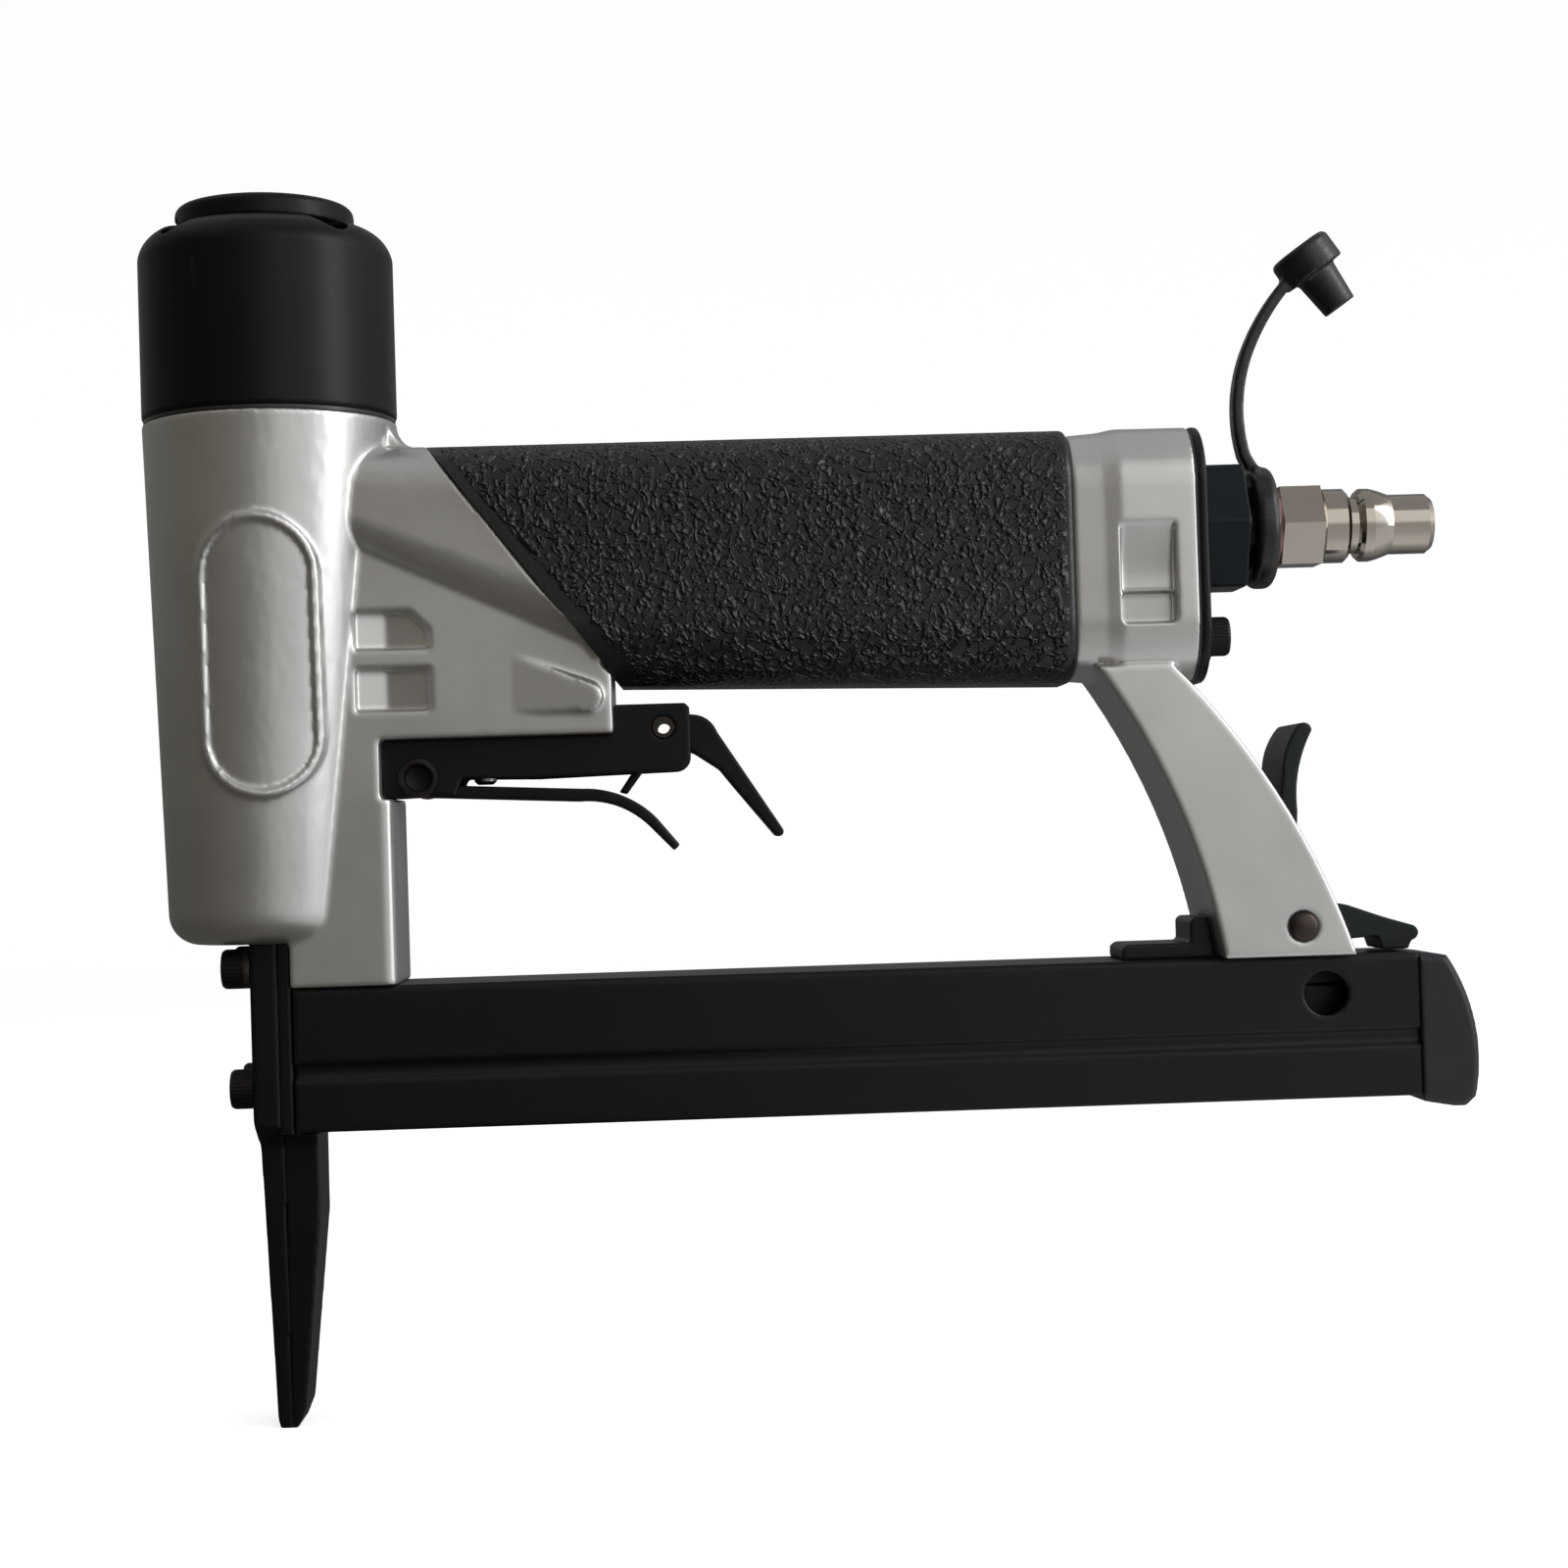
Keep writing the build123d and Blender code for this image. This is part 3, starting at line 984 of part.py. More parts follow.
with BuildPart() as end_gasket:
    extrude(handle_outline(END_X, 0.4), amount=GASKET, dir=(1, 0, 0))
    with Locations(end_plane(END_X)):
        Cylinder(9.0, 10, mode=Mode.SUBTRACT)
        with Locations((END_SCREW_Y, END_SCREW_Z - AIR_Z), (-END_SCREW_Y, END_SCREW_Z - AIR_Z)):
            Cylinder(M4_RADIUS + 0.1, 10, mode=Mode.SUBTRACT)
end_gasket.part.label = "end_gasket"
export_step(end_gasket.part, "parts/end_gasket.step")

with BuildPart() as end_plate:
    extrude(handle_outline(PLATE_X, 0), amount=PLATE_REAR - PLATE_X, dir=(1, 0, 0))
    fillet(faces().sort_by(Axis.X)[-1].edges(), 0.6)
    with Locations(end_plane(END_X)):
        Cylinder(8.0 + FIT, 10, mode=Mode.SUBTRACT)
        with Locations((END_SCREW_Y, END_SCREW_Z - AIR_Z), (-END_SCREW_Y, END_SCREW_Z - AIR_Z)):
            Cylinder(M4_RADIUS + 0.1, 10, mode=Mode.SUBTRACT)
end_plate.part.label = "end_plate"
export_step(end_plate.part, "parts/end_plate.step")

with BuildPart() as end_plate_screws:
    with Locations(*[Plane(origin=(PLATE_REAR, y, END_SCREW_Z), z_dir=(1, 0, 0))
                     for y in (END_SCREW_Y, -END_SCREW_Y)]):
        add(socket_screw(13))
end_plate_screws.part.label = "end_plate_screws"
export_step(end_plate_screws.part, "parts/end_plate_screws.step")

# Inlet bushing: a hexagon with an edge to each side, threaded through the end plate
PLUG_THREAD = 5.2
with BuildPart() as inlet_bushing:
    with BuildSketch(end_plane(PLATE_REAR)):
        RegularPolygon(11.0, 6, major_radius=False, rotation=0)
    extrude(amount=BUSHING_REAR - PLATE_REAR)
    with BuildSketch(end_plane(PLATE_REAR)):
        Circle(12.5)
    extrude(amount=BUSHING_REAR - PLATE_REAR, mode=Mode.INTERSECT)
    with Locations(end_plane(END_X - 4)):
        Cylinder(8.0, PLATE_REAR - END_X + 4, align=(Align.CENTER, Align.CENTER, Align.MIN))
    with Locations(end_plane(BUSHING_REAR)):
        Cylinder(7.6, 1.0, align=(Align.CENTER, Align.CENTER, Align.MIN))
        Cylinder(PLUG_THREAD + FIT, 60, mode=Mode.SUBTRACT)
inlet_bushing.part.label = "inlet_bushing"
export_step(inlet_bushing.part, "parts/inlet_bushing.step")

# Air plug: a quick-connect nipple whose thread passes through the dust cap's ring
PLUG_HEX = 180.4
PLUG_COLLAR = 187.8
PLUG_TIP = 208.2
with BuildPart() as air_plug:
    with BuildSketch(Plane.XZ):
        with BuildLine():
            Polyline((161.0, AIR_Z + 2.8), (161.0, AIR_Z + PLUG_THREAD), (PLUG_HEX, AIR_Z + PLUG_THREAD),
                     (PLUG_HEX, AIR_Z + 6.3), (PLUG_COLLAR, AIR_Z + 6.3), (PLUG_COLLAR + 0.5, AIR_Z + 6.7),
                     (192.2, AIR_Z + 6.7), (192.9, AIR_Z + 6.0), (192.9, AIR_Z + 5.1), (194.7, AIR_Z + 5.1),
                     (194.7, AIR_Z + 6.0), (195.4, AIR_Z + 6.6), (197.0, AIR_Z + 6.6))
            ThreePointArc((197.0, AIR_Z + 6.6), (198.8, AIR_Z + 6.1), (200.6, AIR_Z + 5.4))
            Polyline((200.6, AIR_Z + 5.4), (PLUG_TIP - 1.0, AIR_Z + 5.4), (PLUG_TIP, AIR_Z + 4.6),
                     (PLUG_TIP, AIR_Z + 3.4), (PLUG_TIP - 0.6, AIR_Z + 2.8), (161.0, AIR_Z + 2.8))
        make_face()
    revolve(axis=Axis((0, 0, AIR_Z), (1, 0, 0)))
    with BuildSketch(end_plane(PLUG_HEX)):
        RegularPolygon(7.0, 6, major_radius=False)
        Circle(4, mode=Mode.SUBTRACT)
    extrude(amount=PLUG_COLLAR - PLUG_HEX)
air_plug.part.label = "air_plug"
export_step(air_plug.part, "parts/air_plug.step")

with BuildPart() as plug_seal:
    with BuildSketch(end_plane(PLUG_HEX - 0.9)):
        Circle(6.9)
        Circle(PLUG_THREAD + FIT, mode=Mode.SUBTRACT)
    extrude(amount=0.9)
plug_seal.part.label = "plug_seal"
export_step(plug_seal.part, "parts/plug_seal.step")

# Dust cap: one moulding, a ring around the plug's thread, a strap and the cap that closes the plug
RING_FRONT = 174.9
RING_REAR = 179.3
CAP_CENTRE = (187.5, 202.6)
CAP_DIRECTION = (0.57, -0.82)
cap_plane = Plane(origin=(CAP_CENTRE[0], 0, CAP_CENTRE[1]), x_dir=(0, 1, 0),
                  z_dir=(CAP_DIRECTION[0], 0, CAP_DIRECTION[1]))
with BuildPart() as dust_cap:
    with Locations(end_plane(RING_FRONT)):
        Cylinder(11.0, RING_REAR - RING_FRONT, align=(Align.CENTER, Align.CENTER, Align.MIN))
    fillet(edges().filter_by(GeomType.CIRCLE), 1.6)
    with Locations(end_plane(RING_FRONT)):
        Cylinder(PLUG_THREAD + 0.3, 30, mode=Mode.SUBTRACT)
    # strap
    with BuildLine(Plane.XZ) as strap:
        Line((176.6, AIR_Z + 10.0), (174.9, AIR_Z + 13.0))
        ThreePointArc((174.9, AIR_Z + 13.0), (173.9, 175.0), (175.8, 185.6))
        ThreePointArc((175.8, 185.6), (178.8, 191.8), (184.4, 199.2))
    with BuildSketch(Plane(origin=strap.line @ 0, x_dir=(0, 1, 0), z_dir=strap.line % 0)):
        Rectangle(4.2, 2.0)
    sweep(transition=Transition.ROUND)
    # cap and the stub that enters the plug
    with Locations(cap_plane):
        Cylinder(5.8, 5.6)
        with Locations((0, 0, 2.8)):
            Cone(3.8, 3.1, 7.6, align=(Align.CENTER, Align.CENTER, Align.MIN))
    fillet(edges().filter_by(GeomType.CIRCLE).sort_by_distance(cap_plane.offset(-2.8).origin)[0], 1.2)
dust_cap.part.label = "dust_cap"
export_step(dust_cap.part, "parts/dust_cap.step")
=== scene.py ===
import json
import math

import bmesh
import bpy
from mathutils import Matrix, Quaternion, Vector


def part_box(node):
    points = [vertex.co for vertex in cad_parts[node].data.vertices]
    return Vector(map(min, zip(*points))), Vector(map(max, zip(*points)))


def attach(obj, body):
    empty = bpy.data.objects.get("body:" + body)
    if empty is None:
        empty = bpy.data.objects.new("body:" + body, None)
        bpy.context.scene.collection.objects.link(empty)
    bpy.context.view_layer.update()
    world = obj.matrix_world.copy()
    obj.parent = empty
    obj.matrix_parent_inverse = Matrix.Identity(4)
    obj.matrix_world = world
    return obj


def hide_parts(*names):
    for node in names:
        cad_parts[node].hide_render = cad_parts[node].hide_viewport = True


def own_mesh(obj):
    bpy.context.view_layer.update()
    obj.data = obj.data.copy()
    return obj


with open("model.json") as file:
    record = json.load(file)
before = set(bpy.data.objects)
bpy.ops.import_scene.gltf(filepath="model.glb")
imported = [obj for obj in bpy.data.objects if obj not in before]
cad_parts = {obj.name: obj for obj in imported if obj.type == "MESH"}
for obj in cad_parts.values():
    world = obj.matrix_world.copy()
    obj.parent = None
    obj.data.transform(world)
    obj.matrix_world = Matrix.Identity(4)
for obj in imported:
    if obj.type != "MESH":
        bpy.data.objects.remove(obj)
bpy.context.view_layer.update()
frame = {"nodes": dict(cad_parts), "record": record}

bl_info = {
    "name": "Long-nose stapler",
    "version": (1, 0, 0),
    "blender": (4, 5, 0),
    "location": "View3D > Sidebar > Stapler",
    "description": "Finishes the pieces of a pneumatic fine-wire stapler around its CAD frame",
    "category": "Mesh",
}

MM = 0.001
AXES = {"x": Vector((1, 0, 0)), "y": Vector((0, 1, 0)), "z": Vector((0, 0, 1))}
BODY_OF = {node: body for body, nodes in frame["record"]["behaviour"]["bodies"].items() for node in nodes}
SLOT_OF = {row["node"]: row["material_slot"] for row in frame["record"]["subparts"]}

# Socket head screws, in mm: radius and height of the head, radius of the shank, width of the hexagon,
# pitch of the thread, and the number of knurls
M4 = {"head": (3.5, 4.0), "radius": 2.0, "hexagon": 3.0, "pitch": 0.7, "knurls": 32}
M3_LOW = {"head": (2.75, 1.9), "radius": 1.5, "hexagon": 2.0, "pitch": 0.5, "knurls": 24}
M3_FLAT = {"head": (2.7, 1.6), "radius": 1.5, "hexagon": 2.0, "pitch": 0.5, "knurls": 24}

# Turned pins, as (place along the pin, radius) in mm: the latch pin with its edges broken, and half of the
# trigger pin, a rivet whose hollow end is rolled into a rounded rim
LATCH_PIN = ((-14.8, 0), (-14.8, 1.9), (-14.45, 2.4), (-14.2, 2.5),
             (14.2, 2.5), (14.45, 2.4), (14.8, 1.9), (14.8, 0))
RIVET_HALF = ((0, 2.0), (8.0, 2.0), (8.0, 3.3), (8.2, 3.5), (9.1, 3.5), (9.4, 3.35),
              (9.5, 3.0), (9.45, 2.6), (9.1, 2.3), (8.3, 2.1), (8.1, 1.7), (8.1, 0))

# How far the sleeve's front edge runs back for each metre down
SLEEVE_SLANT = 0.812
# Room left around the driver blade in its groove
BLADE_ROOM = 0.12 * MM
# Reach of that groove's cutter past both ends of the blade
BLADE_REACH = 0.3
# Angles between faces from which an edge stays sharp, on grown, turned and rounded pieces
SHARP_EDGE = math.radians(35)
SHARP_ON_TURNED = math.radians(40)
SHARP_ON_ROUNDED = math.radians(50)
# Radius to the corners of a hexagon of width 1
HEXAGON_CORNER = 0.57735

# Colours of the dust film
DUST_ON_PAINT = (0.34, 0.32, 0.30, 1)
DUST_ON_RUBBER = (0.22, 0.21, 0.20, 1)


# ------------------------------------------------------------------ sizes and colours

def colour(name, description, value):
    return bpy.props.FloatVectorProperty(name=name, description=description, default=value, subtype="COLOR",
                                         size=3, min=0.0, max=1.0)


def length(name, description, value):
    return bpy.props.FloatProperty(name=name, description=description, default=value, unit="LENGTH",
                                   subtype="DISTANCE", precision=5)


class StaplerFinish(bpy.types.PropertyGroup):
    casting: colour("Casting", "Satin silver paint of the casting", (0.53, 0.525, 0.51))
    rubber: colour("Rubber", "Grip sleeve and dust cap", (0.0055, 0.0055, 0.0058))
    cap: colour("Head cap", "Semi-gloss black of the head's cap", (0.0042, 0.0038, 0.0034))
    magazine: colour("Magazine", "Satin black of the magazine", (0.0045, 0.0048, 0.0055))
    oxide: colour("Black oxide", "Nose plates, bracket, trigger", (0.0070, 0.0068, 0.0078))
    screws: colour("Screws", "Blackened screw heads", (0.0080, 0.0065, 0.0055))
    latch: colour("Latch", "Grey-green phosphate", (0.014, 0.018, 0.018))
    end_cap: colour("Magazine end", "Charcoal of the slide's end cap", (0.022, 0.022, 0.025))
    bushing: colour("Bushing", "Black hexagon with a cool tint", (0.0045, 0.0085, 0.011))
    bare: colour("Bare steel", "Ground rail, rod and blade", (0.52, 0.52, 0.52))
    spring: colour("Spring wire", "Drawn wire", (0.40, 0.40, 0.41))
    pin: colour("Pins", "Dark bare pins", (0.060, 0.048, 0.042))
    brass: colour("Brass", "Valve bush and seat", (0.70, 0.50, 0.22))
    # The plating's colour is partly its own warm nickel tint and partly painted reflection: darkened and
    # warmed to stand in for the dim, warm room it reflects
    chrome: colour("Plating", "Plated air plug", (0.42, 0.375, 0.33))
    alloy: colour("Alloy", "Turned piston and liner", (0.60, 0.60, 0.60))
    seal: colour("Seals", "Black seals", (0.02, 0.02, 0.02))
    pink_seal: colour("Thread seal", "Pinkish seal behind the plug", (0.36, 0.17, 0.15))


class StaplerSizes(bpy.types.PropertyGroup):
    casting_voxel: length("Casting grid", "Grid on which the casting's edges are rounded", 0.38 * MM)
    plate_voxel: length("Plate grid", "Grid on which the plates' edges are rounded", 0.36 * MM)
    lever_voxel: length("Lever grid", "Grid on which the levers' edges are rounded", 0.26 * MM)
    grain_height: length("Rubber grain", "Height of the sleeve's ridges", 0.6 * MM)
    knurl_depth: length("Knurl", "Depth of the knurl on a screw head", 0.12 * MM)
    floor_radius: length("Floor", "Radius of the flat part of the floor", 1.4)
    camera_lens: bpy.props.FloatProperty(name="Lens", description="Focal length in mm", default=63.38)


# ------------------------------------------------------------------ shader groups

class Tree:
    """A short way to write a node tree: each call adds one node and returns an output socket."""

    def __init__(self, tree):
        self.tree = tree
        self.place = 0

    def add(self, kind, out=0, settings=None, **inputs):
        node = self.tree.nodes.new(kind)
        node.location = (180 * self.place, -60 * (self.place % 5))
        self.place += 1
        for key, value in (settings or {}).items():
            setattr(node, key, value)
        for key, value in inputs.items():
            socket = node.inputs[int(key[1:])] if key[0] == "i" and key[1:].isdigit() else \
                node.inputs[key.replace("_", " ")]
            if isinstance(value, bpy.types.NodeSocket):
                self.tree.links.new(value, socket)
            else:
                socket.default_value = value
        return node if out is None else node.outputs[out]

    def math(self, operation, a, b=0.0, clamp=False):
        return self.add("ShaderNodeMath", settings={"operation": operation, "use_clamp": clamp}, i0=a, i1=b)

    def band(self, value, low, high, to_low=0.0, to_high=1.0):
        return self.add("ShaderNodeMapRange", settings={"interpolation_type": "SMOOTHSTEP"},
                        Value=value, From_Min=low, From_Max=high, To_Min=to_low, To_Max=to_high)

    def noise(self, where, scale, detail=3.0, roughness=0.5, distortion=0.0):
        return self.add("ShaderNodeTexNoise", Vector=where, Scale=scale, Detail=detail, Roughness=roughness,
                        Distortion=distortion)

    def mapped(self, where, shift=(0, 0, 0), turn=(0, 0, 0), scale=(1, 1, 1)):
        return self.add("ShaderNodeMapping", Vector=where, Location=shift, Rotation=turn, Scale=scale)

    def mix(self, share, a, b):
        return self.add("ShaderNodeMix", out=2, settings={"data_type": "RGBA"}, i0=share, i6=a, i7=b)


def shader_group(name, inputs, outputs, build):
    """A shader node group, made once: inputs as (name, default), outputs as names.

    build(tree, inputs) returns the value of each output."""
    if name in bpy.data.node_groups:
        return bpy.data.node_groups[name]
    group = bpy.data.node_groups.new(name, "ShaderNodeTree")
    group.interface.new_socket("Vector", in_out="INPUT", socket_type="NodeSocketVector")
    for label, value in inputs:
        socket = group.interface.new_socket(label, in_out="INPUT", socket_type="NodeSocketFloat")
        socket.default_value = value
    for label in outputs:
        group.interface.new_socket(label, in_out="OUTPUT", socket_type="NodeSocketFloat")
    tree = Tree(group)
    start = group.nodes.new("NodeGroupInput")
    end = group.nodes.new("NodeGroupOutput")
    for label, value in build(tree, {s.name: s for s in start.outputs if s.name}).items():
        group.links.new(value, end.inputs[label])
    return group


def peel(tree, use):
    """Orange peel of sprayed paint, with slow changes in its gloss."""
    fine = tree.noise(use["Vector"], use["Density"], detail=2.0)
    broad = tree.noise(use["Vector"], tree.math("MULTIPLY", use["Density"], 0.03), roughness=0.6)
    rough = tree.math("ADD", tree.math("MULTIPLY", tree.math("SUBTRACT", broad, 0.5), 0.16),
                      tree.math("MULTIPLY", tree.math("SUBTRACT", fine, 0.5), 0.04))
    return {"Height": fine, "Gloss": rough, "Patch": broad}


def worms(tree, use):
    """Short winding ridges of moulded rubber: level lines of two noises, broken up by a third."""
    def lines(shift, density, width):
        value = tree.noise(tree.mapped(use["Vector"], shift=shift), density,
                           detail=0.6, roughness=0.4, distortion=0.3)
        away = tree.math("ABSOLUTE", tree.math("SUBTRACT", value, 0.5))
        return tree.band(away, 0.0, width, to_low=1.0, to_high=0.0)

    one = lines((0, 0, 0), use["Density"], width=0.10)
    two = lines((0.31, 0.17, 0.43), tree.math("MULTIPLY", use["Density"], 1.2), width=0.09)
    breaks = tree.noise(tree.mapped(use["Vector"], shift=(0.7, 0.2, 0.1)),
                        tree.math("MULTIPLY", use["Density"], 1.5), detail=0.5)
    gaps = tree.band(breaks, 0.36, 0.50)
    ridge = tree.math("MULTIPLY", tree.math("MAXIMUM", one, tree.math("MULTIPLY", two, 0.85)), gaps)
    pore = tree.noise(use["Vector"], tree.math("MULTIPLY", use["Density"], 6.0), detail=2.0)
    return {"Height": tree.math("ADD", ridge, tree.math("MULTIPLY", pore, 0.12)), "Ridge": ridge}


def wear(tree, use):
    """Lighter rubbed edges: where the surface is convex, broken up by noise."""
    convex = tree.add("ShaderNodeNewGeometry", out="Pointiness")
    edge = tree.band(convex, 0.52, 0.60)
    spots = tree.band(tree.noise(use["Vector"], use["Density"], detail=5.0, roughness=0.65), 0.42, 0.68)
    return {"Mask": tree.math("MULTIPLY", tree.math("MULTIPLY", edge, tree.math("ADD", spots, 0.25)),
                              use["Amount"], True)}


def scratches(tree, use):
    """Fine hair scratches and drawing lines along one direction."""
    long_way = tree.mapped(use["Vector"], scale=(1.0, 14.0, 14.0))
    hair = tree.noise(long_way, use["Density"], detail=6.0, roughness=0.7)
    return {"Height": hair, "Mask": tree.band(hair, 0.56, 0.66)}


def dust(tree, use):
    """A thin film of dust on what faces up, thicker in patches."""
    up = tree.add("ShaderNodeSeparateXYZ", out=2, Vector=tree.add("ShaderNodeNewGeometry", out="Normal"))
    film = tree.band(up, 0.2, 1.0)
    patch = tree.noise(use["Vector"], use["Density"], detail=6.0, roughness=0.7)
    return {"Mask": tree.math("MULTIPLY", tree.math("MULTIPLY", film, patch), use["Amount"], True)}


def effects():
    """The shader groups that the materials share."""
    return {
        "peel": shader_group("sprayed_peel", [("Density", 1500.0)], ["Height", "Gloss", "Patch"], peel),
        "worms": shader_group("moulded_worms", [("Density", 450.0)], ["Height", "Ridge"], worms),
        "wear": shader_group("rubbed_edges", [("Density", 300.0), ("Amount", 0.5)], ["Mask"], wear),
        "scratches": shader_group("hair_scratches", [("Density", 60.0)], ["Height", "Mask"], scratches),
        "dust": shader_group("settled_dust", [("Density", 120.0), ("Amount", 0.15)], ["Mask"], dust),
    }


def use_group(tree, name, where, **values):
    """Places a shared group in a material with its own values, and returns its outputs."""
    node = tree.tree.nodes.new("ShaderNodeGroup")
    node.node_tree = effects()[name]
    tree.tree.links.new(where, node.inputs["Vector"])
    for key, value in values.items():
        node.inputs[key].default_value = value
    return node.outputs


def material(name):
    """A new material with a plain Principled BSDF: (material, tree, shader node, object coordinates)."""
    made = bpy.data.materials.new(name)
    made.use_nodes = True
    tree = Tree(made.node_tree)
    shader = made.node_tree.nodes["Principled BSDF"]
    where = tree.add("ShaderNodeTexCoord", out="Object")
    return made, tree, shader, where


def linked(tree, value, socket):
    tree.tree.links.new(value, socket)


def dull_with_dust(tree, gloss, film, shader):
    """Roughness that rises where dust lies."""
    dusty = tree.math("MULTIPLY", film["Mask"], 0.5)
    linked(tree, tree.math("ADD", gloss, dusty, True), shader.inputs["Roughness"])


def painted(name, base, roughness, worn=0.35, peel_depth=0.02 * MM, metallic=0.0, dusty=0.02,
            worn_to=(0.09, 0.088, 0.085), density=1500.0, specular=0.22, marked=1.0):
    """Sprayed or oxide-blackened metal: peel, changing gloss, rubbed edges, hair marks and dust."""
    made, tree, shader, where = material(name)
    coat_of = use_group(tree, "peel", where, Density=density)
    edge = use_group(tree, "wear", where, Amount=worn)
    film = use_group(tree, "dust", where, Amount=dusty)
    marks = use_group(tree, "scratches", where, Density=90.0)
    darker = tuple(0.82 * c for c in base)
    lighter = tuple(min(1.0, 1.14 * c) for c in base)
    tone = tree.mix(coat_of["Patch"], (*darker, 1), (*lighter, 1))
    rubbed = tree.mix(edge["Mask"], tone, (*worn_to, 1))
    dusted = tree.mix(film["Mask"], rubbed, DUST_ON_PAINT)
    linked(tree, dusted, shader.inputs["Base Color"])
    gloss = tree.math("ADD", roughness, coat_of["Gloss"])
    gloss = tree.math("SUBTRACT", gloss, tree.math("MULTIPLY", marks["Mask"], 0.05 * marked))
    dull_with_dust(tree, gloss, film, shader)
    height = tree.math("ADD", coat_of["Height"], tree.math("MULTIPLY", marks["Height"], 0.2 * marked))
    linked(tree, tree.add("ShaderNodeBump", Strength=0.6, Distance=peel_depth, Height=height),
           shader.inputs["Normal"])
    shader.inputs["Metallic"].default_value = metallic
    shader.inputs["Specular IOR Level"].default_value = specular
    return made


def metal(name, base, roughness, brushed=60.0, turn=(0, 0, 0), depth=0.01 * MM, stain=0.25):
    """Bare or plated metal with drawing lines, a slight stain and uneven gloss."""
    made, tree, shader, where = material(name)
    lines = use_group(tree, "scratches", tree.mapped(where, turn=turn), Density=brushed)
    patch = tree.noise(where, 180.0, detail=4.0, roughness=0.6)
    tone = tree.mix(tree.math("MULTIPLY", patch, stain), (*base, 1), (*[0.45 * c for c in base], 1))
    linked(tree, tone, shader.inputs["Base Color"])
    gloss = tree.math("ADD", roughness, tree.math("MULTIPLY", tree.math("SUBTRACT", patch, 0.5), 0.16))
    gloss = tree.math("ADD", gloss, tree.math("MULTIPLY", lines["Mask"], 0.10), True)
    linked(tree, gloss, shader.inputs["Roughness"])
    linked(tree, tree.add("ShaderNodeBump", Strength=0.5, Distance=depth, Height=lines["Height"]),
           shader.inputs["Normal"])
    shader.inputs["Metallic"].default_value = 1.0
    return made


def rubber(name, base, grain=False, roughness=0.38):
    """Moulded rubber, smooth or with the sleeve's winding ridges (painted highlight on their tops, painted
    shade between them), which leave a plain rim at its ends.
    """
    made, tree, shader, where = material(name)
    if grain:
        worm = use_group(tree, "worms", where, Density=450.0)
        # past: distance behind the sleeve's slanted front edge
        xyz = tree.add("ShaderNodeSeparateXYZ", out=None, Vector=where)
        low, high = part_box("grip_sleeve")
        slope = tree.math("MULTIPLY", tree.math("SUBTRACT", high.z, xyz.outputs[2]), SLEEVE_SLANT)
        past = tree.math("SUBTRACT", tree.math("SUBTRACT", xyz.outputs[0], low.x), slope)
        rim = tree.math("MULTIPLY", tree.band(past, 1.6 * MM, 3.0 * MM),
                        tree.band(xyz.outputs[0], high.x - 1.2 * MM, high.x - 2.4 * MM))
        height, ridge = tree.math("MULTIPLY", worm["Height"], rim), worm["Ridge"]
    else:
        skin = use_group(tree, "peel", where, Density=900.0)
        height, ridge = skin["Height"], skin["Patch"]
    film = use_group(tree, "dust", where, Amount=0.02)
    # painted light: on the sleeve the ridge tops are lifted to 1.4 times the rubber's colour as a painted
    # highlight and the grooves cut to half as painted shade; on smooth rubber the same mix gives random
    # lighter and darker patches
    patch_tone_and_painted_ridge_light = tree.mix(ridge, (*[0.5 * c for c in base], 1), (*[1.4 * c for c in base], 1))
    linked(tree, tree.mix(film["Mask"], patch_tone_and_painted_ridge_light, DUST_ON_RUBBER), shader.inputs["Base Color"])
    gloss = tree.math("SUBTRACT", roughness, tree.math("MULTIPLY", ridge, 0.14))
    dull_with_dust(tree, gloss, film, shader)
    shader.inputs["Specular IOR Level"].default_value = 0.45 if grain else 0.35
    deep = bpy.context.scene.stapler_sizes.grain_height if grain else 0.02 * MM
    relief = tree.add("ShaderNodeBump", Strength=1.0, Distance=deep, Height=height)
    linked(tree, relief, shader.inputs["Normal"])
    return made


